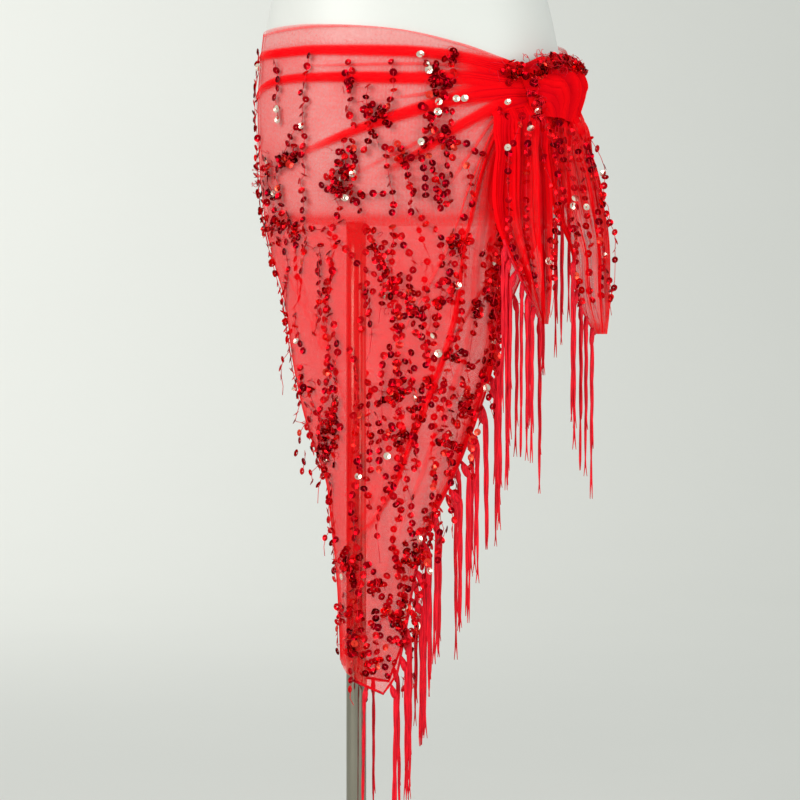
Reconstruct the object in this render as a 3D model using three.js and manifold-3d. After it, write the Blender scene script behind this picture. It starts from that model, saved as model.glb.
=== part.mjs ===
// Sequin hip scarf, tied round a smooth limbless dress form on a pole stand.
// Millimetres, +Z up. The form faces -Y. X = 0 and Y = 0 lie on the pole's axis, Z = 0 is the floor.
// The scarf is one triangle of net. Its long edge runs round the hips to a knot at the form's left hip
// (+X), its point hangs low at the other side, and both short edges carry knotted fringe.
import * as THREE from 'three';
import * as BufferGeometryUtils from 'three/addons/utils/BufferGeometryUtils.js';
import Module from 'manifold-3d';

// Driving dimensions
const formFoot = 781; // height of the form's flat underside
const neckTop = 1520; // height of the closed neck
const poleRadius = 10.5;
const poleSunk = 0.3; // gap left where pole, form and base meet
const baseRadius = 170;
const baseThickness = 9;
const wall = 1.3; // thickness of the net with its stitching
const wrapGap = 1.7; // from the form's skin to the inside of the wrap
const seamGap = 0.35; // gap where two sewn pieces meet
const stripWidth = 3.2; // narrow strip that carries a run of fringe
const stripThickness = 1.6;
const stripLift = 0.4; // how far a strip stands out from the net's middle, clear of the form
const strandWidth = 3;
const dropLength = 160; // usual length of a fringe strand
const lengthSpread = { least: 0.88, more: 0.24, inner: 0.82 }; // shares of dropLength
const laneTurn = 560; // height above which strands hang in lanes beside the edge
const laneFade = { form: 120, crowd: 90 }; // heights over which strands turn to the form, and lanes open
const bend = { first: 7, last: 20, share: 0.45 }; // drops to the two points of a strand's bend
const swayWidth = 1.6;
const sideRow = { first: 1, next: 3.6, over: 16 }; // how far a tuft's strands stand out, and over what drop
const tuftStep = 1.4; // sideways step from one strand of a tuft to the next
const tipShare = 0.6; // thickness of a strand's tip

// Form: a row for each level, half-widths told as left and right edges, depth to front and back
const formLevels = [
  { z: 790, left: -92, right: 214, front: 100, back: 102 },
  { z: 815, left: -97, right: 219, front: 104, back: 108 },
  { z: 860, left: -100, right: 222, front: 106, back: 114 },
  { z: 915, left: -100.5, right: 220, front: 106, back: 114 },
  { z: 975, left: -95, right: 209, front: 99, back: 102 },
  { z: 1015, left: -88, right: 200, front: 93, back: 92 },
  { z: 1090, left: -66, right: 178, front: 84, back: 78 },
  { z: 1165, left: -74, right: 186, front: 96, back: 84 },
  { z: 1235, left: -88, right: 200, front: 120, back: 92 },
  { z: 1285, left: -92, right: 204, front: 122, back: 96 },
  { z: 1345, left: -96, right: 208, front: 102, back: 96 },
  { z: 1395, left: -100, right: 212, front: 82, back: 86 },
  { z: 1425, left: -76, right: 188, front: 68, back: 74 },
  { z: 1448, left: -18, right: 130, front: 58, back: 64 },
  { z: 1470, left: 3, right: 109, front: 53, back: 57 },
  { z: 1515, left: 6, right: 106, front: 50, back: 52 },
];

// Rings of the form's mesh: shrink draws a ring in for the rounded foot and neck edges
const formAround = 32;
const footRings = [
  { z: formFoot, shrink: 9 },
  { z: formFoot + 2.5, shrink: 4 },
  { z: formFoot + 9, shrink: 0 },
];
const formHeights = [
  815, 860, 915, 945, 975, 1015, 1055, 1090, 1130, 1165, 1200, 1235, 1265, 1290, 1320, 1350, 1380, 1400,
  1415, 1428, 1440, 1452, 1470, 1495, 1513,
];
const neckRings = [
  { z: neckTop - 1.5, shrink: 3 },
  { z: neckTop, shrink: 8 },
];

// Net below the form: the same columns, for the tube that its two halves would close
const hangLevels = [
  { z: 780, left: -94, right: 215, front: 104, back: 106 },
  { z: 745, left: -86, right: 203, front: 100, back: 100 },
  { z: 700, left: -74, right: 188, front: 94, back: 92 },
  { z: 626, left: -63, right: 168, front: 84, back: 82 },
  { z: 563, left: -48, right: 146, front: 72, back: 70 },
  { z: 511, left: -30, right: 122, front: 60, back: 58 },
  { z: 474, left: -25, right: 100, front: 51, back: 50 },
  { z: 437, left: -21, right: 82, front: 43, back: 42 },
  { z: 385, left: -17.5, right: 66, front: 35, back: 34 },
  { z: 330, left: -15.5, right: 54, front: 28, back: 27 },
  { z: 275, left: -15, right: 46, front: 24, back: 24 },
];

// Rays of the net: each runs from the knot round to the fold on the far side. A ray lists its angles
// and heights at these stations; angle 0 is +X, -90 the front, -180 and 180 the far fold.
const stations = [0, 0.12, 0.3, 0.5, 0.75, 0.87, 0.94, 1];
const frontRays = [
  {
    name: 'top edge',
    angles: [-42, -55, -72, -96, -130, -150, -165, -180],
    heights: [936, 946, 960, 974, 981, 981, 980, 979],
  },
  {
    name: 'first band',
    angles: [-42, -56, -74, -97, -128, -148, -164, -180],
    heights: [930, 937, 945, 952, 956, 954, 953, 952],
  },
  {
    name: 'second band',
    angles: [-42, -56, -74, -97, -128, -148, -164, -180],
    heights: [921, 921, 925, 925, 924, 923, 918, 911],
  },
  {
    name: 'third band',
    angles: [-42, -56, -74, -95, -126, -146, -163, -180],
    heights: [912, 911, 903, 884, 857, 843, 834, 826],
  },
  {
    name: 'fourth band',
    angles: [-42, -56, -70, -90, -116, -138, -160, -180],
    heights: [903, 898, 879, 846, 811, 785, 764, 748],
  },
  {
    name: 'long fold',
    angles: [-44, -60, -69.5, -71, -90, -108, -137, -180],
    heights: [894, 868, 775, 665, 532, 470, 446, 428],
  },
  {
    name: 'short edge',
    angles: [-44, -57, -54, -42, -50, -41, -66, -180],
    heights: [885, 840, 762, 640, 440, 345, 291, 322],
  },
];
const backRays = [
  {
    name: 'top edge',
    angles: [-18, 8, 40, 80, 125, 150, 165, 180],
    heights: [936, 950, 962, 972, 978, 980, 980, 979],
  },
  {
    name: 'first band',
    angles: [-18, 8, 40, 80, 125, 150, 165, 180],
    heights: [930, 938, 944, 948, 951, 952, 952, 952],
  },
  {
    name: 'second band',
    angles: [-18, 8, 40, 80, 125, 150, 165, 180],
    heights: [921, 924, 925, 923, 919, 916, 914, 911],
  },
  {
    name: 'third band',
    angles: [-18, 8, 40, 80, 125, 150, 165, 180],
    heights: [912, 910, 901, 882, 857, 843, 834, 826],
  },
  {
    name: 'fourth band',
    angles: [-18, 8, 40, 78, 115, 142, 162, 180],
    heights: [903, 896, 876, 843, 803, 776, 760, 748],
  },
  {
    name: 'long fold',
    angles: [-18, 6, 34, 60, 88, 108, 138, 180],
    heights: [894, 872, 800, 690, 545, 485, 450, 428],
  },
  {
    name: 'short edge',
    angles: [-18, 4, 26, 40, 46, 43, 68, 180],
    heights: [885, 858, 780, 650, 452, 352, 296, 322],
  },
];

// Rows of the wrap's grid, counted in rays, and how far each stands out as a fold.
// reach is the share of the way to the far fold over which the fold stays up.
const wrapRows = [
  { ray: 0, raise: 0.4, reach: 1 },
  { ray: 0.45, raise: 0, reach: 1 },
  { ray: 0.8, raise: 0, reach: 1 },
  { ray: 1, raise: 2.4, reach: 1 },
  { ray: 1.2, raise: 0, reach: 1 },
  { ray: 1.5, raise: 0.5, reach: 0.8 },
  { ray: 1.82, raise: 0, reach: 1 },
  { ray: 2, raise: 2.8, reach: 1 },
  { ray: 2.18, raise: 0, reach: 1 },
  { ray: 2.5, raise: 0.6, reach: 0.6 },
  { ray: 2.86, raise: 0, reach: 1 },
  { ray: 3, raise: 2.6, reach: 0.8 },
  { ray: 3.14, raise: 0, reach: 1 },
  { ray: 3.5, raise: 0.6, reach: 0.6 },
  { ray: 3.86, raise: 0, reach: 1 },
  { ray: 4, raise: 2.4, reach: 0.68 },
  { ray: 4.14, raise: 0, reach: 1 },
  { ray: 4.3, raise: 1.8, reach: 0.6 },
  { ray: 4.46, raise: 0, reach: 1 },
  { ray: 4.62, raise: 2.6, reach: 0.75 },
  { ray: 4.78, raise: 0, reach: 1 },
  { ray: 4.92, raise: 0, reach: 1 },
  { ray: 5, raise: 3.6, reach: 0.97 },
  { ray: 5.1, raise: 0, reach: 1 },
  { ray: 5.35, raise: 1.6, reach: 0.9 },
  { ray: 5.6, raise: 0, reach: 1 },
  { ray: 5.82, raise: 1.2, reach: 0.9 },
  { ray: 6, raise: 0, reach: 1 },
];
const frontColumns = 24;
const backColumns = 21;
const columnCrowding = 1.15; // power that draws columns together towards the far fold
const foldFade = 0.22; // share of the way over which a fold dies out before its reach
const foldThicken = 0.2; // how much of a fold's height is its own thickness
const pinched = { least: 0.35, until: 0.16 }; // folds are pressed flat at the knot, up to this share

// Knot: a gathered pad on the wrap, between two angles and two heights
const knot = { from: -48, to: -13, low: 884, high: 950, rim: 9, puff: 18 };
const knotLobes = { count: 4, depth: 0.2, lean: 0.6 };
const knotGrid = { columns: 16, rows: 11 };
const knotSeat = 4.2; // from the wrap's inside face to the knot's underside

// Tails: a row for each level, with the two edges' places, and how deep the pleats are
const frontTailLevels = [
  { z: 883.3, leftX: 165, leftY: -98, rightX: 189, rightY: -83, pleat: 2.2 },
  { z: 862, leftX: 156, leftY: -106, rightX: 194, rightY: -86, pleat: 4 },
  { z: 830, leftX: 150, leftY: -111, rightX: 199, rightY: -84, pleat: 6 },
  { z: 795, leftX: 148, leftY: -111, rightX: 201, rightY: -83, pleat: 7 },
  { z: 760, leftX: 150, leftY: -108, rightX: 201, rightY: -83, pleat: 7 },
  { z: 728, leftX: 163, leftY: -102, rightX: 200, rightY: -84, pleat: 6 },
  { z: 700, leftX: 176, leftY: -96, rightX: 199, rightY: -84, pleat: 4 },
  { z: 674, leftX: 189, leftY: -89, rightX: 197, rightY: -85, pleat: 1.5 },
];
const rearTailLevels = [
  { z: 883.3, leftX: 206, leftY: -62, rightX: 225, rightY: -42, pleat: 2.2 },
  { z: 858, leftX: 211, leftY: -68, rightX: 242, rightY: -36, pleat: 4 },
  { z: 826, leftX: 216, leftY: -70, rightX: 253, rightY: -33, pleat: 5.5 },
  { z: 785, leftX: 219, leftY: -69, rightX: 260, rightY: -32, pleat: 6.5 },
  { z: 745, leftX: 221, leftY: -67, rightX: 262, rightY: -33, pleat: 6.5 },
  { z: 712, leftX: 224, leftY: -64, rightX: 262, rightY: -35, pleat: 5.5 },
  { z: 688, leftX: 232, leftY: -58, rightX: 262, rightY: -37, pleat: 4 },
  { z: 664, leftX: 246, leftY: -49, rightX: 260, rightY: -41, pleat: 2 },
];
const tailColumns = 15;
const tailPleats = 3;
const pleatTurn = { from: 883, over: 900 }; // pleats shift sideways by one pleat over this drop

const netRed = new THREE.MeshStandardMaterial({ color: 0xd8262b, roughness: 0.75, metalness: 0 });
const fringeRed = new THREE.MeshStandardMaterial({ color: 0xb8050f, roughness: 0.6, metalness: 0 });
const formWhite = new THREE.MeshStandardMaterial({ color: 0xeceee8, roughness: 0.45, metalness: 0 });
const polishedSteel = new THREE.MeshStandardMaterial({ color: 0xb9b8a8, roughness: 0.15, metalness: 1 });
const baseSteel = new THREE.MeshStandardMaterial({ color: 0xc2c2be, roughness: 0.3, metalness: 1 });

const toRadians = (degrees) => degrees * Math.PI / 180;

// A smooth curve through pairs [place, value], places rising; tangents are the neighbours' slope
function smooth(places, values, at) {
  const last = places.length - 1;
  const x = Math.min(Math.max(at, places[0]), places[last]);
  let i = 0;
  while (i < last - 1 && x > places[i + 1]) i += 1;
  const slope = (k) => {
    const a = Math.max(k - 1, 0);
    const b = Math.min(k + 1, last);
    return (values[b] - values[a]) / (places[b] - places[a]);
  };
  const span = places[i + 1] - places[i];
  const t = (x - places[i]) / span;
  const hold = (1 + 2 * t) * (1 - t) ** 2 * values[i] + t * t * (3 - 2 * t) * values[i + 1];
  return hold + span * (t * (1 - t) ** 2 * slope(i) - t * t * (1 - t) * slope(i + 1));
}

// A level table read at one height, as one object with the same columns
function levelAt(levels, z) {
  const rows = [...levels].sort((a, b) => a.z - b.z);
  const places = rows.map((row) => row.z);
  const result = {};
  for (const column of Object.keys(rows[0])) {
    result[column] = smooth(places, rows.map((row) => row[column]), z);
  }
  return result;
}

// The stretch of the form that the net's ovals follow
const formCovered = { low: 800, high: 1100 };

// The inside face of the net at every height: just outside the form, and hanging free below it
const drapeLevels = [
  ...hangLevels,
  ...formLevels.filter((row) => row.z > formCovered.low && row.z < formCovered.high).map((row) => ({
    z: row.z,
    left: row.left - wrapGap,
    right: row.right + wrapGap,
    front: row.front + wrapGap,
    back: row.back + wrapGap,
  })),
];

// A place on an oval level: angle 0 is +X, -90 the front, 90 the back
function ovalPoint(level, angle, out) {
  const middle = (level.left + level.right) / 2;
  const half = (level.right - level.left) / 2 + out;
  const turn = toRadians(angle);
  const deep = (turn < 0 ? level.front : level.back) + out;
  return new THREE.Vector3(middle + half * Math.cos(turn), deep * Math.sin(turn), level.z);
}

const drapePoint = (angle, z, out) => ovalPoint({ ...levelAt(drapeLevels, z), z }, angle, out);

// A closed mesh from a point list and a triangle list
function solidFrom(points, triangles) {
  const geometry = new THREE.BufferGeometry();
  const numbers = points.flatMap((p) => [p.x, p.y, p.z]);
  geometry.setAttribute('position', new THREE.Float32BufferAttribute(numbers, 3));
  geometry.setIndex(triangles);
  return geometry;
}

// A wall between two grids of points, rows by columns, closed all round its rim.
// Seen from outside, columns run to the left and rows run down.
function wallBetween(outer, inner) {
  const rows = outer.length;
  const columns = outer[0].length;
  const points = [...outer.flat(), ...inner.flat()];
  const shift = rows * columns;
  const triangles = [];
  const quad = (a, b, c, d) => triangles.push(a, b, c, a, c, d);
  const at = (r, c) => r * columns + c;
  for (let r = 0; r < rows - 1; r += 1) {
    for (let c = 0; c < columns - 1; c += 1) {
      quad(at(r, c), at(r, c + 1), at(r + 1, c + 1), at(r + 1, c));
      quad(shift + at(r, c), shift + at(r + 1, c), shift + at(r + 1, c + 1), shift + at(r, c + 1));
    }
  }
  for (let c = 0; c < columns - 1; c += 1) {
    quad(at(0, c + 1), at(0, c), shift + at(0, c), shift + at(0, c + 1));
    quad(at(rows - 1, c), at(rows - 1, c + 1), shift + at(rows - 1, c + 1), shift + at(rows - 1, c));
  }
  const end = columns - 1;
  for (let r = 0; r < rows - 1; r += 1) {
    quad(at(r, 0), at(r + 1, 0), shift + at(r + 1, 0), shift + at(r, 0));
    quad(at(r + 1, end), at(r, end), shift + at(r, end), shift + at(r + 1, end));
  }
  return solidFrom(points, triangles);
}

// Rings of points joined in order, with a flat fan at each end; rings turn left seen from above
function loft(rings) {
  const count = rings[0].length;
  const points = rings.flat();
  const triangles = [];
  for (let r = 0; r < rings.length - 1; r += 1) {
    for (let i = 0; i < count; i += 1) {
      const a = r * count + i;
      const b = r * count + (i + 1) % count;
      triangles.push(a, b, b + count, a, b + count, a + count);
    }
  }
  const addCap = (ring, start, up) => {
    if (count === 3) {
      triangles.push(...(up ? [start, start + 1, start + 2] : [start + 2, start + 1, start]));
      return;
    }
    const centre = ring.reduce((sum, p) => sum.add(p), new THREE.Vector3()).divideScalar(count);
    points.push(centre);
    for (let i = 0; i < count; i += 1) {
      const pair = [start + i, start + (i + 1) % count];
      triangles.push(points.length - 1, ...(up ? pair : pair.reverse()));
    }
  };
  addCap(rings[0], 0, false);
  addCap(rings[rings.length - 1], (rings.length - 1) * count, true);
  return solidFrom(points, triangles);
}

// Form: ovals stacked from the rounded foot edge to the rounded neck edge
function makeForm() {
  const bodyRings = formHeights.map((z) => ({ z, shrink: 0 }));
  const rings = [...footRings, ...bodyRings, ...neckRings].map(({ z, shrink }) => {
    const level = { ...levelAt(formLevels, z), z };
    return Array.from({ length: formAround }, (_, i) => (
      ovalPoint(level, -180 + 360 * i / formAround, -shrink)));
  });
  return loft(rings);
}

// A place on a ray, linear between two rays, smooth along them
function rayPlace(rays, ray, along) {
  const low = Math.min(Math.floor(ray), rays.length - 2);
  const share = ray - low;
  const read = (way, column) => smooth(stations, way[column], along);
  const mix = (column) => read(rays[low], column) * (1 - share) + read(rays[low + 1], column) * share;
  return { angle: mix('angles'), z: mix('heights') };
}

// How far a row stands out at a place on its way: full by the knot, gone past its reach
function foldRaise(row, along) {
  const fade = Math.min(Math.max((row.reach - along) / foldFade, 0), 1);
  return row.reach >= 1 ? row.raise : row.raise * fade * fade * (3 - 2 * fade);
}

// Columns lie a little closer together towards the far fold, where the net turns
function columnPlaces(count) {
  return Array.from({ length: count + 1 }, (_, i) => 1 - (1 - i / count) ** columnCrowding);
}

// The wrap's grid of places: from the front end, round by the far fold, to the back end
function wrapGrid(extraOut, thicken) {
  const ways = [
    ...columnPlaces(frontColumns).map((along) => ({ rays: frontRays, along })),
    ...columnPlaces(backColumns).slice(0, -1).reverse().map((along) => ({ rays: backRays, along })),
  ];
  return wrapRows.map((row) => ways.map(({ rays, along }) => {
    const place = rayPlace(rays, row.ray, along);
    const pressed = Math.min(pinched.least + along / pinched.until, 1);
    const raise = foldRaise(row, along) * pressed;
    return drapePoint(place.angle, place.z, raise + extraOut + thicken * raise);
  }));
}

// Knot: a puffed pad with soft lobes whose underside follows the wrap
function makeKnot() {
  const { columns, rows } = knotGrid;
  const grid = (face) => Array.from({ length: rows }, (_, r) => Array.from({ length: columns }, (__, c) => {
    const across = c / (columns - 1);
    const down = r / (rows - 1);
    const angle = knot.to + (knot.from - knot.to) * across;
    const z = knot.high + (knot.low - knot.high) * down;
    const swell = (1 - (2 * across - 1) ** 4) * (1 - (2 * down - 1) ** 4);
    const turns = knotLobes.count * across + knotLobes.lean * down;
    const lobe = 1 + knotLobes.depth * Math.cos(2 * Math.PI * turns);
    return drapePoint(angle, z, knotSeat + face * (knot.rim + knot.puff * swell * lobe));
  }));
  return wallBetween(grid(1), grid(0));
}

// Tail: a hanging sheet, pleated across; its grid runs from the right edge to the left edge
function tailMiddle(levels) {
  const heights = [];
  levels.forEach((row, i) => {
    heights.push(row.z);
    if (i < levels.length - 1) heights.push((row.z + levels[i + 1].z) / 2);
  });
  return heights.map((z) => {
    const row = levelAt(levels, z);
    const chord = new THREE.Vector3(row.rightX - row.leftX, row.rightY - row.leftY, 0);
    const outward = new THREE.Vector3(chord.y, -chord.x, 0).normalize();
    return Array.from({ length: tailColumns + 1 }, (_, c) => {
      const across = 1 - c / tailColumns;
      const turns = tailPleats * across + (pleatTurn.from - z) / pleatTurn.over;
      const wave = Math.sin(2 * Math.PI * turns);
      return new THREE.Vector3(row.leftX, row.leftY, z)
        .addScaledVector(chord, across)
        .addScaledVector(outward, row.pleat * wave);
    });
  });
}

// Outward normals of a grid whose columns run left and rows run down, from each place's neighbours
function gridNormals(grid) {
  const rows = grid.length;
  const columns = grid[0].length;
  const before = (i) => Math.max(i - 1, 0);
  const after = (i, count) => Math.min(i + 1, count - 1);
  return grid.map((line, r) => line.map((_, c) => {
    const along = new THREE.Vector3().subVectors(line[before(c)], line[after(c, columns)]);
    const down = new THREE.Vector3().subVectors(grid[after(r, rows)][c], grid[before(r)][c]);
    return down.cross(along).normalize();
  }));
}

function makeTail(middle) {
  const normals = gridNormals(middle);
  const face = (side) => middle.map((line, r) => line.map((p, c) => (
    p.clone().addScaledVector(normals[r][c], side * wall / 2))));
  return wallBetween(face(1), face(-1));
}

// A number from 0 to 1 that looks random but is the same each time
const vary = (seed) => {
  const value = Math.sin(seed * 12.9898) * 43758.5453;
  return value - Math.floor(value);
};

// A thin prism along a downward path: three corners in each level section, a little thinner at the tip
function strand(path) {
  const rings = path.map((p, i) => {
    const radius = strandWidth / Math.sqrt(3) * (i === path.length - 1 ? tipShare : 1);
    return [90, 210, 330].map((degrees) => new THREE.Vector3(
      p.x + radius * Math.cos(toRadians(degrees)),
      p.y + radius * Math.sin(toRadians(degrees)),
      p.z,
    ));
  });
  return loft(rings.reverse());
}

// The strip beside an edge: its middle line, and the directions away from the cloth and out of its face
function stripFrames(edge, inward, normals) {
  return edge.map((p, i) => {
    const ahead = edge[Math.min(i + 1, edge.length - 1)];
    const behind = edge[Math.max(i - 1, 0)];
    const run = new THREE.Vector3().subVectors(ahead, behind).normalize();
    const away = new THREE.Vector3().subVectors(p, inward[i]);
    away.addScaledVector(run, -away.dot(run)).normalize();
    const middle = p.clone()
      .addScaledVector(away, seamGap + stripWidth / 2)
      .addScaledVector(normals[i], stripLift);
    return { middle, away, out: normals[i] };
  });
}

function stripSolid(frames) {
  const corners = [[-1, -1], [1, -1], [1, 1], [-1, 1]];
  const sections = frames.map(({ middle, away, out }) => corners.map(([a, b]) => middle.clone()
    .addScaledVector(away, a * stripWidth / 2)
    .addScaledVector(out, b * stripThickness / 2)));
  const run = new THREE.Vector3().subVectors(frames[1].middle, frames[0].middle);
  const turnsLeft = new THREE.Vector3().crossVectors(frames[0].away, frames[0].out).dot(run) > 0;
  return loft(turnsLeft ? sections : sections.reverse());
}

// Places along a strip at an even pitch, with its directions there
function rootsAlong(frames, pitch) {
  const lengths = [0];
  for (let i = 1; i < frames.length; i += 1) {
    lengths.push(lengths[i - 1] + frames[i].middle.distanceTo(frames[i - 1].middle));
  }
  const total = lengths[lengths.length - 1];
  const count = Math.max(Math.round(total / pitch), 2);
  return Array.from({ length: count }, (_, k) => {
    const place = total * (k + 0.5) / count;
    let i = 0;
    while (i < lengths.length - 2 && lengths[i + 1] < place) i += 1;
    const share = (place - lengths[i]) / (lengths[i + 1] - lengths[i]);
    return {
      root: frames[i].middle.clone().lerp(frames[i + 1].middle, share),
      away: frames[i].away.clone().lerp(frames[i + 1].away, share).normalize(),
      out: frames[i].out.clone().lerp(frames[i + 1].out, share).normalize(),
    };
  });
}

// The way of one strand: out of the strip to its own lane, then straight down to its tip.
// Lanes lie beside a steep edge, along the form where there is one, and straight out to +X below it.
function strandPath({ root, away, out }, lane, side, length, seed) {
  const steep = Math.hypot(away.x, away.y);
  const byForm = Math.min(Math.max((root.z - laneTurn) / laneFade.form, 0), 1);
  const beside = new THREE.Vector3(out.x, out.y, 0).normalize();
  const outward = new THREE.Vector3(away.x, away.y, 0);
  outward.addScaledVector(beside, -outward.dot(beside));
  outward.y *= byForm;
  outward.normalize();
  const lateral = lane * steep;
  const at = (share, down) => root.clone()
    .addScaledVector(outward, lateral * share)
    .addScaledVector(beside, side * Math.min(down / sideRow.over, 1))
    .add(new THREE.Vector3(0, 0, -down));
  const sway = (vary(seed) - 0.5) * swayWidth;
  const tip = at(1, length).addScaledVector(outward, sway);
  return [at(0, 0), at(bend.share, bend.first + lateral * 0.2), at(1, bend.last + lateral * 0.5), tip];
}

const wasm = await Module();
wasm.setup();

// A three.js geometry as a solid that can be joined, and back again
function toManifold(geometry) {
  const plain = geometry.clone();
  plain.deleteAttribute('normal');
  plain.deleteAttribute('uv');
  const merged = BufferGeometryUtils.mergeVertices(plain, 1e-4);
  return new wasm.Manifold(new wasm.Mesh({
    numProp: 3,
    vertProperties: new Float32Array(merged.attributes.position.array),
    triVerts: new Uint32Array(merged.index.array),
  }));
}

function fromManifold(solid) {
  const mesh = solid.getMesh();
  const geometry = new THREE.BufferGeometry();
  geometry.setAttribute('position', new THREE.BufferAttribute(mesh.vertProperties, 3));
  geometry.setIndex(new THREE.BufferAttribute(mesh.triVerts, 1));
  return geometry;
}

// A run of fringe: the strip with every strand's root fused into it.
// lanes spreads the strands that hang beside a steep edge, tuft is the strands in one tassel.
function makeFringe(frames, { pitch, lanes, laneStart, laneStep, tuft, seed }) {
  let solid = toManifold(stripSolid(frames));
  rootsAlong(frames, pitch).forEach((place, k) => {
    for (let n = 0; n < tuft; n += 1) {
      const crowded = Math.min(Math.max((place.root.z - laneTurn) / laneFade.crowd, 0), 1);
      const lane = laneStart + n * tuftStep + laneStep * crowded * (k % lanes);
      const share = lengthSpread.least + lengthSpread.more * vary(seed + k * 7 + n * 3);
      const length = dropLength * share * (n === 1 ? lengthSpread.inner : 1);
      const side = sideRow.first + n * sideRow.next;
      solid = solid.add(toManifold(strand(strandPath(place, lane, side, length, seed + k * 5 + n))));
    }
  });
  return fromManifold(solid);
}

const group = new THREE.Group();

function addMesh(name, geometry, material) {
  const mesh = new THREE.Mesh(geometry, material);
  mesh.name = name;
  group.add(mesh);
  return mesh;
}

// Stand: round plate with a low hub, and the tube that carries the form
const hubTop = 26;
const plateProfile = [
  { radius: 0, height: 0 },
  { radius: baseRadius - 2, height: 0 },
  { radius: baseRadius, height: 2 },
  { radius: baseRadius, height: baseThickness - 3 },
  { radius: baseRadius - 3, height: baseThickness },
  { radius: 26, height: baseThickness + 2 },
  { radius: 17, height: hubTop - 7 },
  { radius: 16, height: hubTop },
  { radius: 0, height: hubTop },
].map(({ radius, height }) => new THREE.Vector2(radius, height));
const plate = addMesh('stand_base', new THREE.LatheGeometry(plateProfile, 36), baseSteel);
plate.rotation.x = Math.PI / 2;

const poleLength = formFoot - hubTop - 2 * poleSunk;
const poleTube = new THREE.CylinderGeometry(poleRadius, poleRadius, poleLength, 24);
const pole = addMesh('stand_pole', poleTube, polishedSteel);
pole.rotation.x = Math.PI / 2;
pole.position.z = hubTop + poleSunk + poleLength / 2;

addMesh('form_body', makeForm(), formWhite);

// Scarf
const wrapOutside = wrapGrid(wall, foldThicken);
const wrapInside = wrapGrid(0, 0);
addMesh('hip_wrap', wallBetween(wrapOutside, wrapInside), netRed);
addMesh('knot', makeKnot(), netRed);
const frontTail = tailMiddle(frontTailLevels);
const rearTail = tailMiddle(rearTailLevels);
addMesh('front_tail', makeTail(frontTail), netRed);
addMesh('rear_tail', makeTail(rearTail), netRed);

// Fringe along the wrap's short edges: the last row of its grid, front half then back half
const lastRow = wrapRows.length - 1;
const middleOf = (r, c) => wrapOutside[r][c].clone().lerp(wrapInside[r][c], 0.5);
const throughWall = (r, c) => new THREE.Vector3().subVectors(wrapOutside[r][c], wrapInside[r][c]);
const outOf = (c) => throughWall(lastRow, c).normalize();

function hemFrames(first, last) {
  const places = Array.from({ length: last - first + 1 }, (_, i) => first + i);
  return stripFrames(
    places.map((c) => middleOf(lastRow, c)),
    places.map((c) => middleOf(lastRow - 1, c)),
    places.map((c) => outOf(c)),
  );
}

const foldColumn = frontColumns;
const lastColumn = wrapOutside[0].length - 1;
const knotColumns = 2; // columns at the knot that carry no fringe
const hemFringe = { pitch: 32, lanes: 6, laneStart: 4.5, laneStep: 5.8 };
const frontHem = hemFrames(knotColumns, foldColumn - 1);
const backHem = hemFrames(foldColumn + 1, lastColumn - knotColumns);
addMesh('fringe_front', makeFringe(frontHem, { ...hemFringe, tuft: 3, seed: 1 }), fringeRed);
addMesh('fringe_back', makeFringe(backHem, { ...hemFringe, tuft: 2, seed: 40 }), fringeRed);

// Fringe along a tail's lower edge: its left column, from a chosen row down
function tailEdgeFrames(middle, firstRow) {
  const normals = gridNormals(middle);
  const rows = middle.slice(firstRow);
  return stripFrames(
    rows.map((line) => line[tailColumns]),
    rows.map((line) => line[tailColumns - 1]),
    normals.slice(firstRow).map((line) => line[tailColumns]),
  );
}

const tailFringe = { pitch: 14, lanes: 3, laneStart: 4, laneStep: 4.5, tuft: 2 };
const fringedFrom = 8; // row of a tail's grid where its fringe starts
const frontTailEdge = tailEdgeFrames(frontTail, fringedFrom);
const rearTailEdge = tailEdgeFrames(rearTail, fringedFrom);
addMesh('fringe_front_tail', makeFringe(frontTailEdge, { ...tailFringe, seed: 80 }), fringeRed);
addMesh('fringe_rear_tail', makeFringe(rearTailEdge, { ...tailFringe, seed: 120 }), fringeRed);

export default group;
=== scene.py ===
import bmesh
import bpy
import numpy as np
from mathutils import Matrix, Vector


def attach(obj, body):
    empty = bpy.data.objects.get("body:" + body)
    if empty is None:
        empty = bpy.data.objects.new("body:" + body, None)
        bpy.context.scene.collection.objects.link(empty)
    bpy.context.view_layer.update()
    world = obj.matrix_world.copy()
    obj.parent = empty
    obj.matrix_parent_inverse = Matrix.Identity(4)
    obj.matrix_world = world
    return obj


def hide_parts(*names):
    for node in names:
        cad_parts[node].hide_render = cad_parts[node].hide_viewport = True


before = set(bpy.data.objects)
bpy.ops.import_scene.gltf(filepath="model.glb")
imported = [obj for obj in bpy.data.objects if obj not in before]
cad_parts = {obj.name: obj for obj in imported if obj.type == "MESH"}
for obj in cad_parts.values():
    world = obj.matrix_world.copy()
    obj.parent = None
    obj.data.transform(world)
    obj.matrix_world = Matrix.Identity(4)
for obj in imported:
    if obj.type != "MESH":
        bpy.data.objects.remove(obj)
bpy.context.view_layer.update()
mm = 0.001  # the shape values below are millimetres


# Reading tables and building meshes

# a curve through the rows of a table: between two rows it is the cubic that meets both values,
# with each row's slope taken from its two neighbours
def smoothRead(places, values, at):
    places, values = np.asarray(places, float), np.asarray(values, float)
    at = np.clip(at, places[0], places[-1])
    low = np.clip(np.searchsorted(places, at, side="right") - 1, 0, len(places) - 2)
    before = np.maximum(np.arange(len(places)) - 1, 0)
    after = np.minimum(np.arange(len(places)) + 1, len(places) - 1)
    slope = (values[after] - values[before]) / (places[after] - places[before])
    span = places[low + 1] - places[low]
    t = (at - places[low]) / span
    hold = (1 + 2 * t) * (1 - t) ** 2 * values[low] + t * t * (3 - 2 * t) * values[low + 1]
    return hold + span * (t * (1 - t) ** 2 * slope[low] - t * t * (1 - t) * slope[low + 1])


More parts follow.
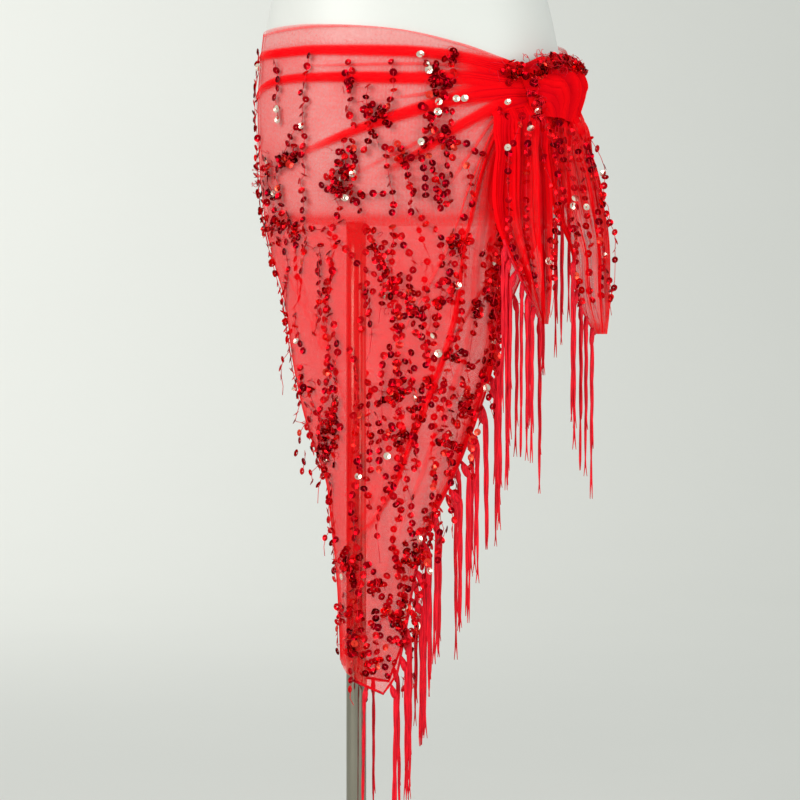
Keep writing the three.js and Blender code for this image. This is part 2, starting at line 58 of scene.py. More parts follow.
# 0 below start, 1 above end, and an even S between
def ease(start, end, at):
    t = np.clip((at - start) / (end - start), 0, 1)
    return t * t * (3 - 2 * t)


# an oval at each height: x is the middle plus half the width times the cosine, y the depth times the sine
def ovalPoints(levels, z, angle, out):
    z, angle, out = np.broadcast_arrays(np.asarray(z, float), angle, out)
    left, right, front, back = (smoothRead(levels[:, 0], levels[:, k], z) for k in (1, 2, 3, 4))
    turn = np.radians(angle)
    deep = np.where(turn < 0, front, back) + out
    x = (left + right) / 2 + ((right - left) / 2 + out) * np.cos(turn)
    return np.stack([x, deep * np.sin(turn), z], -1)


# the same oval's angle where it passes a given x, on its front (side -1) or back (side 1)
def angleAt(levels, z, x, side):
    left, right = (smoothRead(levels[:, 0], levels[:, k], z) for k in (1, 2))
    share = (x - (left + right) / 2) / ((right - left) / 2)
    return side * np.degrees(np.arccos(np.clip(share, -1, 1))), np.abs(share) < 1


# a mesh object from places in millimetres, with its material, its map and its value for each vertex
def newPiece(name, vertices, faces, material, smooth=True, uv=None, values=None):
    mesh = bpy.data.meshes.new(name)
    faces = faces if isinstance(faces, list) else faces.tolist()
    mesh.from_pydata((np.asarray(vertices) * mm).tolist(), [], faces)
    corner = np.empty(len(mesh.loops), int)
    mesh.loops.foreach_get("vertex_index", corner)
    if uv is not None:
        mesh.uv_layers.new(name="cloth").data.foreach_set("uv", np.asarray(uv, float)[corner].ravel())
    for key, data in (values or {}).items():
        mesh.attributes.new(key, "FLOAT", "POINT").data.foreach_set("value", np.asarray(data, float).ravel())
    mesh.polygons.foreach_set("use_smooth", np.full(len(mesh.polygons), smooth))
    mesh.materials.append(material)
    mesh.update()
    piece = bpy.data.objects.new(name, mesh)
    bpy.context.scene.collection.objects.link(piece)
    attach(piece, "root")
    return piece


# faces of a grid of rows by columns; with closed, the last column joins the first
def gridFaces(rows, columns, closed=False):
    r, c = np.meshgrid(np.arange(rows - 1), np.arange(columns if closed else columns - 1), indexing="ij")
    a = r * columns + c
    b = r * columns + (c + 1) % columns
    return np.stack([a, b, b + columns, a + columns], -1).reshape(-1, 4)


# a ring surface from a grid of rings, each end drawn in to a point so that it is closed
def ringSurface(rings):
    first = np.repeat(rings[:1].mean(1, keepdims=True), rings.shape[1], 1)
    last = np.repeat(rings[-1:].mean(1, keepdims=True), rings.shape[1], 1)
    whole = np.concatenate([first, rings, last])
    return whole.reshape(-1, 3), gridFaces(len(whole), rings.shape[1], closed=True)


# merges doubles, drops faces without area and turns all faces outwards
def weld(piece, distance=0.00001):
    work = bmesh.new()
    work.from_mesh(piece.data)
    bmesh.ops.remove_doubles(work, verts=work.verts, dist=distance)
    bmesh.ops.dissolve_degenerate(work, edges=work.edges, dist=distance)
    bmesh.ops.recalc_face_normals(work, faces=work.faces)
    work.to_mesh(piece.data)
    work.free()


# many tubes at once: paths is tubes by steps by xyz, radii tubes by steps. Each ring is a circle in the
# plane across its own path, turned by the path's direction from one fixed side vector
def tubes(paths, radii, sides):
    run = np.gradient(paths, axis=1)
    run /= np.maximum(np.linalg.norm(run, axis=2, keepdims=True), 1e-9)
    fixed = np.array([0.31, 0.95, 0.02])
    across = np.cross(run, fixed)
    across /= np.maximum(np.linalg.norm(across, axis=2, keepdims=True), 1e-9)
    other = np.cross(run, across)
    turn = 2 * np.pi * np.arange(sides) / sides
    ring = across[:, :, None] * np.cos(turn)[:, None] + other[:, :, None] * np.sin(turn)[:, None]
    points = paths[:, :, None] + ring * radii[:, :, None, None]
    count, steps = paths.shape[:2]
    ends = np.stack([paths[:, 0], paths[:, -1]], 1)
    vertices = np.concatenate([points.reshape(count, -1, 3), ends], 1)
    wall = gridFaces(steps, sides, closed=True)[:, ::-1]
    side = np.arange(sides)
    nextSide = (side + 1) % sides
    head = np.stack([np.full(sides, steps * sides), side, nextSide], 1)
    tail = np.stack([np.full(sides, steps * sides + 1), (steps - 1) * sides + nextSide,
                     (steps - 1) * sides + side], 1)
    shift = np.arange(count)[:, None, None] * vertices.shape[1]
    quads = (wall[None] + shift).reshape(-1, 4)
    ends3 = (np.concatenate([head, tail])[None] + shift).reshape(-1, 3)
    return vertices.reshape(-1, 3), quads.tolist() + ends3.tolist()


# Materials

# an empty material with its output node
def newMaterial(name):
    material = bpy.data.materials.new(name)
    material.use_nodes = True
    nodes, links = material.node_tree.nodes, material.node_tree.links
    nodes.clear()
    output = nodes.new("ShaderNodeOutputMaterial")
    return material, nodes, links, output


# a node with its settings, and its inputs' values by name with _ for a space
def addNode(nodes, kind, settings=None, **inputs):
    node = nodes.new(kind)
    for key, value in (settings or {}).items():
        setattr(node, key, value)
    for key, value in inputs.items():
        node.inputs[key.replace("_", " ")].default_value = value
    return node


# a maths node on sockets and fixed values, in the order of its inputs
def addMath(nodes, links, operation, *values, clamp=False):
    node = addNode(nodes, "ShaderNodeMath", {"operation": operation, "use_clamp": clamp})
    for socket, value in zip(node.inputs, values):
        if isinstance(value, bpy.types.NodeSocket):
            links.new(value, socket)
        else:
            socket.default_value = value
    return node.outputs[0]


# noise on the piece's own coordinates, stretched where a scale is given for each axis
def addNoise(nodes, links, scale, detail, stretch=None, **inputs):
    place = nodes.new("ShaderNodeTexCoord").outputs["Object"]
    if stretch:
        mapping = addNode(nodes, "ShaderNodeMapping", Scale=stretch)
        links.new(place, mapping.inputs[0])
        place = mapping.outputs[0]
    noise = addNode(nodes, "ShaderNodeTexNoise", Scale=scale, Detail=detail, **inputs)
    links.new(place, noise.inputs["Vector"])
    return noise.outputs["Fac"]


# a colour ramp through stops, each a position and a colour
def addRamp(nodes, links, source, stops):
    ramp = nodes.new("ShaderNodeValToRGB")
    ends = ramp.color_ramp.elements
    ends[0].position, ends[0].color = stops[0]
    ends[1].position, ends[1].color = stops[-1]
    for position, colour in stops[1:-1]:
        ends.new(position).color = colour
    links.new(source, ramp.inputs[0])
    return ramp.outputs[0]


# a surface whose colour comes from a socket, with a bump where a height socket is given
def addSurface(nodes, links, colour, height=None, bump=None, **inputs):
    surface = addNode(nodes, "ShaderNodeBsdfPrincipled", **inputs)
    links.new(colour, surface.inputs["Base Color"])
    if height is not None:
        raised = addNode(nodes, "ShaderNodeBump", **bump)
        links.new(height, raised.inputs["Height"])
        links.new(raised.outputs[0], surface.inputs["Normal"])
    return surface.outputs[0]


# weave: how much the yarns' pattern adds to the share of yarn. slow and mottle: scale, detail and share of the two
# unevennesses. through: the part of the light on a yarn that comes from behind. deep: the darker red of the painted
# shade in creases, gathers and valleys
netLook = {"yarn": (1.0, 0.002, 0.006, 1), "deep": (0.5, 0.0, 0.008, 1), "pitch": 1.25, "weave": 0.16,
           "weaveShift": 0.3, "slow": (14.0, 4.0, 0.22), "mottle": (420.0, 1.0, 0.24), "through": 0.16}


# red net: see-through between its yarns. The share of yarn is the piece's own cover value, plus the larger of two
# sines across its map, plus noise; the piece's shade value is painted shade, which turns its red to the deep one
def netMaterial():
    material, nodes, links, output = newMaterial("redNet")
    cover = addNode(nodes, "ShaderNodeAttribute", {"attribute_name": "cover"})
    shade = addNode(nodes, "ShaderNodeAttribute", {"attribute_name": "shade"})
    place = addNode(nodes, "ShaderNodeUVMap", {"uv_map": "cloth"})
    split = nodes.new("ShaderNodeSeparateXYZ")
    links.new(place.outputs[0], split.inputs[0])
    turns = 2 * np.pi / (netLook["pitch"] * mm)
    threads = [addMath(nodes, links, "SINE", addMath(nodes, links, "MULTIPLY", split.outputs[axis], turns))
               for axis in ("X", "Y")]
    weave = addMath(nodes, links, "MAXIMUM", *threads)
    added = addMath(nodes, links, "MULTIPLY_ADD", weave, netLook["weave"],
                    -netLook["weave"] * netLook["weaveShift"])
    for scale, detail, share in (netLook["slow"], netLook["mottle"]):
        noise = addNoise(nodes, links, scale, detail)
        uneven = addMath(nodes, links, "MULTIPLY_ADD", noise, share, -share / 2)
        added = addMath(nodes, links, "ADD", added, uneven)
    total = addMath(nodes, links, "ADD", cover.outputs["Fac"], added, clamp=True)
    # painted shade: the shade value mixes the yarn's red towards the deep red
    tone = addNode(nodes, "ShaderNodeMix", {"data_type": "RGBA"})
    tone.inputs["A"].default_value = netLook["yarn"]
    tone.inputs["B"].default_value = netLook["deep"]
    links.new(shade.outputs["Fac"], tone.inputs["Factor"])
    lit = addSurface(nodes, links, tone.outputs["Result"], Roughness=0.8, Specular_IOR_Level=0.02)
    through = nodes.new("ShaderNodeBsdfTranslucent")
    links.new(tone.outputs["Result"], through.inputs["Color"])
    yarn = addNode(nodes, "ShaderNodeMixShader", Fac=netLook["through"])
    links.new(lit, yarn.inputs[1])
    links.new(through.outputs[0], yarn.inputs[2])
    clear = nodes.new("ShaderNodeBsdfTransparent")
    mix = nodes.new("ShaderNodeMixShader")
    links.new(total, mix.inputs[0])
    links.new(clear.outputs[0], mix.inputs[1])
    links.new(yarn.outputs[0], mix.inputs[2])
    links.new(mix.outputs[0], output.inputs[0])
    return material


fringeLook = {"light": (0.95, 0.004, 0.02, 1), "dark": (0.5, 0.0, 0.012, 1), "stretch": (900.0, 900.0, 60.0)}


# twisted shiny yarn: fine lengthwise streaks between two reds
def fringeMaterial():
    material, nodes, links, output = newMaterial("redYarn")
    streak = addNoise(nodes, links, 1.0, 3.0, fringeLook["stretch"], Roughness=0.6)
    tone = addRamp(nodes, links, streak, [(0.35, fringeLook["dark"]), (0.62, fringeLook["light"])])
    yarn = addSurface(nodes, links, tone, streak, {"Strength": 0.4, "Distance": 0.0004}, Roughness=0.5,
                      Specular_IOR_Level=0.2)
    links.new(yarn, output.inputs[0])
    return material


# colour stops by tone: from the dark red of painted shade over the foil's red to a pale painted highlight for those
# that lie square to the light
sequinTones = [(0.0, (0.13, 0.0, 0.005, 1)), (0.45, (0.5, 0.001, 0.006, 1)), (0.85, (0.95, 0.008, 0.012, 1)),
               (0.93, (1.0, 0.10, 0.05, 1)), (1.0, (0.95, 0.80, 0.66, 1))]


# foil sequin: metal whose colour differs from one to the next by the piece's own tone value, which carries painted
# shade and painted highlight
def sequinMaterial():
    material, nodes, links, output = newMaterial("redFoil")
    tone = addNode(nodes, "ShaderNodeAttribute", {"attribute_name": "tone"})
    colour = addRamp(nodes, links, tone.outputs["Fac"], sequinTones)
    links.new(addSurface(nodes, links, colour, Metallic=1.0, Roughness=0.24), output.inputs[0])
    return material


formLook = {"low": (0.655, 0.67, 0.635, 1), "high": (0.72, 0.73, 0.705, 1), "grain": 900.0}


# smooth moulded skin with a faint mottle
def formMaterial():
    material, nodes, links, output = newMaterial("whiteShell")
    cloud = addNoise(nodes, links, 5.0, 5.0)
    tone = addRamp(nodes, links, cloud, [(0.0, formLook["low"]), (1.0, formLook["high"])])
    grain = addNoise(nodes, links, formLook["grain"], 2.0)
    skin = addSurface(nodes, links, tone, grain, {"Strength": 0.08, "Distance": 0.0002}, Roughness=0.42)
    links.new(skin, output.inputs[0])
    return material


# polished steel with faint lengthwise drawing marks
def steelMaterial(name, colour, roughness, marks):
    material, nodes, links, output = newMaterial(name)
    streak = addNoise(nodes, links, 1.0, 4.0, marks)
    rough = addNode(nodes, "ShaderNodeMapRange", To_Min=roughness * 0.7, To_Max=roughness * 1.5)
    links.new(streak, rough.inputs["Value"])
    steel = addNode(nodes, "ShaderNodeBsdfPrincipled", Metallic=1.0, Base_Color=colour)
    links.new(rough.outputs[0], steel.inputs["Roughness"])
    links.new(steel.outputs[0], output.inputs[0])
    return material


net = netMaterial()
yarn = fringeMaterial()
foil = sequinMaterial()
shell = formMaterial()
# the chrome's dull olive colour is darker than bare chrome, standing in for the darker surroundings it reflects:
# painted reflection
chrome = steelMaterial("drawnChrome", (0.28, 0.265, 0.215, 1), 0.16, (700, 700, 6))
plate = steelMaterial("plateSteel", (0.52, 0.52, 0.5, 1), 0.28, (40, 400, 40))

# Form: a row for each level with height, left edge, right edge, depth to the front, depth to the back
formLevels = np.array([
    (790, -92, 214, 100, 102), (815, -97, 219, 104, 108), (860, -100, 222, 106, 114),
    (915, -100.5, 220, 106, 114), (975, -95, 209, 99, 102), (1015, -88, 200, 93, 92),
    (1090, -66, 178, 84, 78), (1165, -74, 186, 96, 84), (1235, -88, 200, 120, 92),
    (1285, -92, 204, 122, 96), (1345, -96, 208, 102, 96), (1395, -100, 212, 82, 86),
    (1425, -76, 188, 68, 74), (1448, -18, 130, 58, 64), (1470, 3, 109, 53, 57), (1515, 6, 106, 50, 52),
], float)
form = {"foot": 781, "neck": 1520, "rings": 150, "around": 96, "footRound": 9, "neckRound": 8,
        "footRings": (1, 2.5, 4.5, 7), "neckRings": (1, 2.5, 5)}


# the form's ovals stacked from foot to neck, drawn in at both ends by a quarter circle
def makeForm():
    z = np.linspace(form["foot"], form["neck"], form["rings"])
    z = np.sort(np.concatenate([z, np.add(form["foot"], form["footRings"]),
                                np.subtract(form["neck"], form["neckRings"])]))
    low = np.clip((form["foot"] + form["footRound"] - z) / form["footRound"], 0, 1)
    high = np.clip((z - form["neck"] + form["neckRound"]) / form["neckRound"], 0, 1)
    shrink = form["footRound"] * (1 - np.sqrt(1 - low ** 2))
    shrink = shrink + form["neckRound"] * (1 - np.sqrt(1 - high ** 2))
    angle = -180 + 360 * np.arange(form["around"]) / form["around"]
    rings = ovalPoints(formLevels, z[:, None], angle[None], -shrink[:, None])
    vertices, faces = ringSurface(rings)
    piece = newPiece("formShell", vertices, faces, shell)
    weld(piece)
    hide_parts("form_body")
    print("form made")


makeForm()

# radii of the pole and plate, the plate's thickness, the hub's height, and the gap at both ends of the pole
stand = {"pole": 10.5, "plate": 170, "thick": 9, "hub": 26, "gap": 0.3, "edge": 0.0006, "edgeAngle": 35}


# a profile of radius and height turned about the pole's axis
def turned(name, profile, around, material, slot, node):
    profile = np.array(profile, float)
    turn = 2 * np.pi * np.arange(around) / around
    rings = np.stack([profile[:, None, 0] * np.cos(turn), profile[:, None, 0] * np.sin(turn),
                      np.repeat(profile[:, 1:], around, 1)], -1)
    vertices, faces = ringSurface(rings)
    piece = newPiece(name, vertices, faces, material)
    weld(piece)
    bevel = piece.modifiers.new("edge", "BEVEL")
    bevel.width = stand["edge"]
    bevel.segments = 2
    bevel.limit_method = "ANGLE"
    bevel.angle_limit = np.radians(stand["edgeAngle"])
    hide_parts(node)
    return piece


# the plate with its rounded rim and its hub, and the pole, as profiles of radius and height
def makeStand():
    radius, thick, top, pole = stand["plate"], stand["thick"], stand["hub"], stand["pole"]
    rim = [(0.5, 0), (radius - 2, 0), (radius, 2), (radius, thick - 3), (radius - 1, thick - 0.9),
           (radius - 3, thick)]
    hub = [(60, thick + 0.6), (26, thick + 2), (19, thick + 5), (17, top - 7), (16.6, top - 1.5), (15.4, top),
           (0.5, top)]
    turned("standPlate", rim + hub, 128, plate, "base", "stand_base")
    low, high = top + stand["gap"], form["foot"] - stand["gap"]
    shaft = [(0.5, low), (pole, low), (pole, low + 200), (pole, low + 400), (pole, high), (0.5, high)]
    turned("standPole", shaft, 64, chrome, "pole", "stand_pole")
    print("stand made")


makeStand()

# Net: the ovals that it lies on, free of the form below its foot and a hair outside the form above it
hang = {"gap": 1.7, "wall": 1.3, "seam": 0.35, "stripWide": 3.2, "stripThick": 1.6, "stripLift": 0.4}
hangLevels = np.array([
    (275, -15, 46, 24, 24), (330, -15.5, 54, 28, 27), (385, -17.5, 66, 35, 34), (437, -21, 82, 43, 42),
    (474, -25, 100, 51, 50), (511, -30, 122, 60, 58), (563, -48, 146, 72, 70), (626, -63, 168, 84, 82),
    (700, -74, 188, 94, 92), (745, -86, 203, 100, 100), (780, -94, 215, 104, 106),
], float)
onForm = formLevels[(formLevels[:, 0] > 800) & (formLevels[:, 0] < 1100)]
drapeLevels = np.concatenate([hangLevels, onForm + hang["gap"] * np.array([0, -1, 1, 1, 1])])

# rays of the net, each from the knot round to the far fold, as angle and height at the stations;
# the order is top edge, four bands, long fold, short edge
stations = np.array([0, 0.12, 0.3, 0.5, 0.75, 0.87, 0.94, 1])
rays = {
    "front": np.array([
        [[-42, 936], [-55, 946], [-72, 960], [-96, 974], [-130, 981], [-150, 981], [-165, 980], [-180, 979]],
        [[-42, 930], [-56, 937], [-74, 945], [-97, 952], [-128, 956], [-148, 954], [-164, 953], [-180, 952]],
        [[-42, 921], [-56, 921], [-74, 925], [-97, 925], [-128, 924], [-148, 923], [-164, 918], [-180, 911]],
        [[-42, 912], [-56, 911], [-74, 903], [-95, 884], [-126, 857], [-146, 843], [-163, 834], [-180, 826]],
        [[-42, 903], [-56, 898], [-70, 879], [-90, 846], [-116, 811], [-138, 785], [-160, 764], [-180, 748]],
        [[-44, 894], [-60, 868], [-69.5, 775], [-71, 665], [-90, 532], [-108, 470], [-137, 446], [-180, 428]],
        [[-44, 885], [-57, 840], [-54, 762], [-42, 640], [-50, 440], [-41, 345], [-66, 291], [-180, 322]],
    ], float),
    "back": np.array([
        [[-18, 938], [5, 964], [36, 973], [80, 976], [125, 978], [150, 980], [165, 980], [180, 979]],
        [[-18, 930], [8, 938], [40, 944], [80, 948], [125, 951], [150, 952], [165, 952], [180, 952]],
        [[-18, 921], [8, 924], [40, 925], [80, 923], [125, 919], [150, 916], [165, 914], [180, 911]],
        [[-18, 912], [8, 910], [40, 901], [80, 882], [125, 857], [150, 843], [165, 834], [180, 826]],
        [[-18, 903], [8, 896], [40, 876], [78, 843], [115, 803], [142, 776], [162, 760], [180, 748]],
        [[-18, 894], [6, 872], [34, 800], [60, 690], [88, 545], [108, 485], [138, 450], [180, 428]],
        [[-18, 885], [4, 858], [26, 780], [40, 650], [46, 452], [43, 352], [68, 296], [180, 322]],
    ], float),
}

# folds that run along the rays: ray, where each starts and ends on its way from the knot, how far it
# stands out, its half width at the start and at the end, and the share of yarn in it
frontFolds = [
    (1.0, 0, 1.1, 2.6, 8.0, 5.0, 0.97), (2.0, 0, 1.1, 3.0, 10.0, 3.6, 0.97),
    (3.0, 0, 0.9, 2.8, 12.0, 3.0, 0.97), (4.0, 0, 0.68, 2.6, 10.0, 2.6, 0.96),
    (4.3, 0, 0.5, 1.8, 5.0, 2.0, 0.74), (4.62, 0, 0.8, 2.4, 5.0, 2.4, 0.78),
    (5.0, 0, 0.98, 3.8, 6.0, 4.0, 0.985), (5.35, 0, 0.92, 1.6, 7.0, 3.5, 0.72),
    (5.82, 0.02, 0.95, 1.2, 6.0, 3.0, 0.76), (5.96, 0.04, 0.86, 0.8, 26.0, 6.0, 0.93),
    (5.55, 0.02, 0.3, 1.0, 12.0, 4.0, 0.92), (4.8, 0.05, 0.4, 1.2, 6.0, 2.6, 0.84),
    (1.5, 0, 0.85, 0.7, 3.0, 1.2, 0.7), (2.5, 0, 0.6, 0.8, 4.0, 1.4, 0.76), (0.1, 0, 1.1, 0.5, 2.0, 1.6, 0.6),
]
backFolds = [
    (1.0, 0, 1.1, 2.6, 6.0, 4.6, 0.95), (2.0, 0, 1.1, 2.8, 7.0, 3.2, 0.95), (3.0, 0, 0.8, 2.4, 7.0, 2.0, 0.92),
    (4.0, 0, 0.6, 2.2, 6.0, 2.0, 0.9), (4.5, 0, 0.72, 2.2, 5.0, 2.6, 0.72), (5.0, 0, 0.9, 3.0, 5.0, 3.0, 0.9),
    (5.4, 0, 0.88, 1.6, 4.5, 3.0, 0.66), (5.96, 0.06, 0.85, 0.8, 12.0, 7.0, 0.88),
    (1.5, 0, 0.7, 0.7, 3.0, 1.2, 0.62), (3.5, 0, 0.55, 0.9, 3.0, 1.6, 0.66), (0.1, 0, 1.1, 0.5, 2.0, 1.6, 0.6),
]
# creases that cross the rays: way as angle and height, how far each stands out, half width, share of yarn
crossCreases = [
    ([(-158, 733), (-146, 690), (-134, 648)], 1.6, 3.0, 0.82),
    ([(-126, 511), (-110, 494), (-118, 472)], 1.4, 3.0, 0.8),
    ([(-100, 560), (-104, 500), (-112, 440)], 1.2, 4.0, 0.66),
    ([(-80, 380), (-92, 340), (-100, 310)], 1.0, 4.0, 0.66),
    ([(150, 720), (132, 640), (120, 560)], 1.6, 4.0, 0.74),
    ([(96, 520), (104, 450), (110, 400)], 1.2, 4.0, 0.66),
]
# stops and rows: where the rays stand closer, and how many lie in each stretch. small: little random folds, each
# value a range. Then the share of yarn in each area. gather: how far from the knot the net is gathered, and how
# much farther in its middle. gatherShade and foldShade: how much painted shade darkens the hollows between the
# gather creases and the folds. bulge: where the back half stands out over the knot's far side
netShape = {
    "stops": (0, 0.55, 1.45, 2.45, 3.3, 4.3, 5.15, 6), "rows": (28, 30, 40, 34, 38, 88, 40), "columns": 116,
    "small": 30, "smallRay": (0.2, 5.9), "smallEnd": (0.15, 0.8), "smallRise": (0.3, 0.9),
    "smallWide": (1.5, 3.5), "smallNarrow": (1.0, 2.2), "smallYarn": (0.52, 0.72),
    "overForm": 0.47, "topStrip": 0.36, "lowLeft": 0.66, "lowRight": 0.52, "low": 0.6,
    "gathered": 1.04, "farFold": 0.86, "gather": (0.13, 0.17), "creases": 2.9,
    "gatherShade": 0.55, "foldShade": 0.15, "formFoot": (776, 796), "seat": 0.6, "flatRadius": 150,
    "bulge": 6, "bulgeAngle": 2, "bulgeWide": 15, "bulgeHeight": (930, 958),
}


# places on rays: each ray is read along its stations, then two neighbouring rays are mixed straight
def rayPlaces(side, ray, along):
    ray, along = np.broadcast_arrays(np.asarray(ray, float), along)
    shape = ray.shape
    ray, along = ray.ravel(), along.ravel()
    ways = np.array([[smoothRead(stations, way[:, k], along) for way in rays[side]] for k in (0, 1)])
    low = np.clip(np.floor(ray).astype(int), 0, 5)
    share = ray - low
    index = np.arange(len(ray))
    mixed = ways[:, low, index] * (1 - share) + ways[:, low + 1, index] * share
    return mixed[0].reshape(shape), mixed[1].reshape(shape)


# millimetres from one ray to the next at each place
def raySpacing(side, ray, along):
    low = np.clip(np.floor(ray), 0, 5)
    first = ovalPoints(drapeLevels, *reversed(rayPlaces(side, low, along)), 0)
    second = ovalPoints(drapeLevels, *reversed(rayPlaces(side, low + 1, along)), 0)
    return np.linalg.norm(second - first, axis=-1)


# smooth unevenness from -1 to 1: a few sines in two directions with fixed odd phases
def ripple(u, v, seed):
    phases = np.random.default_rng(seed).uniform(0, 6.28, 10)
    total = np.zeros(np.broadcast(u, v).shape)
    for k in range(5):
        bent = phases[k] + 1.3 * np.sin((0.6 + 0.5 * k) * v + phases[k + 5])
        total = total + np.sin((1 + 0.7 * k) * u + bent) / (k + 1.5)
    return total / 1.4


# distance in millimetres from each place to a crease's way, with the angle turned into arc length
def creaseDistance(angle, z, way, radius=105):
    arc = np.radians(1) * radius
    nearest = np.full(angle.shape, 1e9)
    for (a0, z0), (a1, z1) in zip(way[:-1], way[1:]):
        du, dv = (a1 - a0) * arc, z1 - z0
        pu, pv = (angle - a0) * arc, z - z0
        t = np.clip((pu * du + pv * dv) / (du * du + dv * dv), 0, 1)
        nearest = np.minimum(nearest, np.hypot(pu - t * du, pv - t * dv))
    return nearest


# little folds at random rays, in the form of the fold tables' rows
def smallFolds(seed):
    luck = np.random.default_rng(seed)
    keys = "smallRay", "smallEnd", "smallRise", "smallWide", "smallNarrow", "smallYarn"
    ranges = [netShape[key] for key in keys]
    drawn = [[luck.uniform(*span) for span in ranges] for _ in range(netShape["small"])]
    return [(row[0], 0, *row[1:]) for row in drawn]


# how high the folds stand and how much open net they leave at each place. A fold is a soft ridge: its height
# falls off with an even S over its half width in millimetres, it narrows along its way and fades at its end
def foldRelief(angle, z, ray, along, spacing, cover, folds):
    raised = np.zeros(angle.shape)
    clear = np.ones(angle.shape)
    for number, (centre, start, end, rise, wide, narrow, yarn) in enumerate(folds):
        drift = 2.2 * np.sin(7 * along + 2.1 * number) * ease(0.1, 0.5, along)
        away = np.abs((ray - centre) * spacing + drift)
        half = wide + (narrow - wide) * np.clip(along / max(end, 0.2), 0, 1)
        there = ease(start - 0.02, start + 0.02, along) * (1 - ease(end - 0.22, end, along))
        raised = np.maximum(raised, rise * there * (1 - ease(0, 1.3, away / half)))
        closed = there * (1 - ease(0.55, 1.1, away / half))
        clear = clear * (1 - closed * np.clip((yarn - cover) / (1 - cover), 0, 1))
    for way, rise, half, yarn in crossCreases:
        away = creaseDistance(angle, z, way)
        raised = np.maximum(raised, rise * (1 - ease(0, 1.4, away / half)))
        closed = 1 - ease(0.4, 1.2, away / half)
        clear = clear * (1 - closed * np.clip((yarn - cover) / (1 - cover), 0, 1))
    return raised, clear


# one half of the net on a grid of rays by ways: the ovals' points, out = seat + folds + gather creases + ripple.
# The share of yarn starts from the plain net's own, rises in each fold, and is whole where all is gathered. Its
# shade value is painted shade in the hollows between the gather creases and in the folds
def netHalf(side, ray, along, folds, seed):
    angle, z = rayPlaces(side, ray, along)
    below = 1 - ease(*netShape["formFoot"], z)
    plain = netShape["low"]
    if side == "front":
        plain = np.where(ray < 5, netShape["lowLeft"], netShape["lowRight"])
    cover = netShape["overForm"] * (1 - below) + plain * below
    cover = cover + (netShape["topStrip"] - cover) * (1 - ease(0.55, 1.0, ray))
    spacing = raySpacing(side, ray, along)
    raised, clear = foldRelief(angle, z, ray, along, spacing, cover, folds + smallFolds(seed))
    cover = 1 - (1 - cover) * clear
    middleRays = ease(0.5, 0.9, ray) * (1 - ease(3.1, 3.7, ray))
    reach = netShape["gather"][0] + netShape["gather"][1] * middleRays
    whole = 1 - ease(reach * 0.55, reach * 1.15, along + 0.02 * ripple(ray * 3, along * 9, seed))
    cover = cover + (netShape["gathered"] - cover) * whole
    cover = cover + (netShape["farFold"] - cover) * ease(0.972, 0.994, along) * (1 - ease(5.9, 6.0, ray))
    bent = ray * netShape["creases"] + 1.7 * ripple(ray * 2.3, along * 4, seed + 1)
    creases = np.abs(np.sin(np.pi * bent)) ** 0.6
    # painted shade: dark in the gathered part between its raised creases, and in the folds away from those creases
    shade = whole * (1 - creases) * netShape["gatherShade"]
    shade = shade + netShape["foldShade"] * (1 - clear) * (1 - creases)
    pressed = np.minimum(0.35 + along / 0.16, 1)
    free = 0.5 * (1 + ripple(angle / 9, z / 45, seed + 2)) * (0.3 + 2.4 * below)
    out = netShape["seat"] + raised * pressed + 0.9 * whole * creases + free * ease(0.08, 0.3, along)
    if side == "back":
        near = np.exp(-((angle - netShape["bulgeAngle"]) / netShape["bulgeWide"]) ** 2)
        out = out + netShape["bulge"] * near * ease(*netShape["bulgeHeight"], z)
    points = ovalPoints(drapeLevels, z, angle, out)
    uv = np.stack([np.radians(angle) * netShape["flatRadius"] * mm, z * mm], -1)
    return points, uv, cover, shade


# two halves' arrays side by side: near the far fold both are moved to the mean of their last values there
def joinHalves(front, back, weight):
    mean = (front[:, -1] + back[:, 0]) / 2
    weight = weight[None, :, None] if front.ndim == 3 else weight[None]
    front = front + (mean - front[:, -1])[:, None] * weight
    back = back + (mean - back[:, 0])[:, None] * weight[:, ::-1]
    return np.concatenate([front, back[:, 1:]], 1)


# the net: both halves in one grid, from the knot round the far fold to the knot again
def makeNet():
    stops, counts = netShape["stops"], netShape["rows"]
    stretches = [np.linspace(a, b, n, endpoint=False) for a, b, n in zip(stops[:-1], stops[1:], counts)]
    ray = np.concatenate(stretches + [stops[-1:]])
    along = 1 - (1 - np.linspace(0, 1, netShape["columns"])) ** 1.1
    front = netHalf("front", ray[:, None], along[None], frontFolds, 21)
    back = netHalf("back", ray[:, None], along[None, ::-1], backFolds, 22)
    nearFold = ease(0.93, 1.0, along)
    points, cover, shade = (joinHalves(front[k], back[k], nearFold) for k in (0, 2, 3))
    onceRound = [2 * np.pi * netShape["flatRadius"] * mm, 0]
    uv = np.concatenate([front[1], back[1][:, 1:] - onceRound], 1)
    rows, columns = points.shape[:2]
    piece = newPiece("hipNet", points.reshape(-1, 3), gridFaces(rows, columns)[:, ::-1], net,
                     uv=uv.reshape(-1, 2), values={"cover": cover, "shade": shade})
    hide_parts("hip_wrap")
    print("net made", rows, columns)
    return piece


hipNet = makeNet()

# Tails: a row for each level with height, left edge x and y, right edge x and y, and pleat depth
frontTailRows = np.array([
    (883.3, 165, -98, 189, -83, 2.2), (862, 156, -106, 194, -86, 4), (830, 150, -111, 199, -84, 6),
    (795, 148, -111, 201, -83, 7), (760, 150, -108, 201, -83, 7), (728, 163, -102, 200, -84, 6),
    (700, 176, -96, 199, -84, 4), (674, 189, -89, 197, -85, 1.5),
])[::-1]
rearTailRows = np.array([
    (883.3, 206, -62, 225, -42, 2.2), (858, 211, -68, 242, -36, 4), (826, 216, -70, 253, -33, 5.5),
    (785, 219, -69, 260, -32, 6.5), (745, 221, -67, 262, -33, 6.5), (712, 224, -64, 262, -35, 5.5),
    (688, 232, -58, 262, -37, 4), (664, 246, -49, 260, -41, 2),
])[::-1]
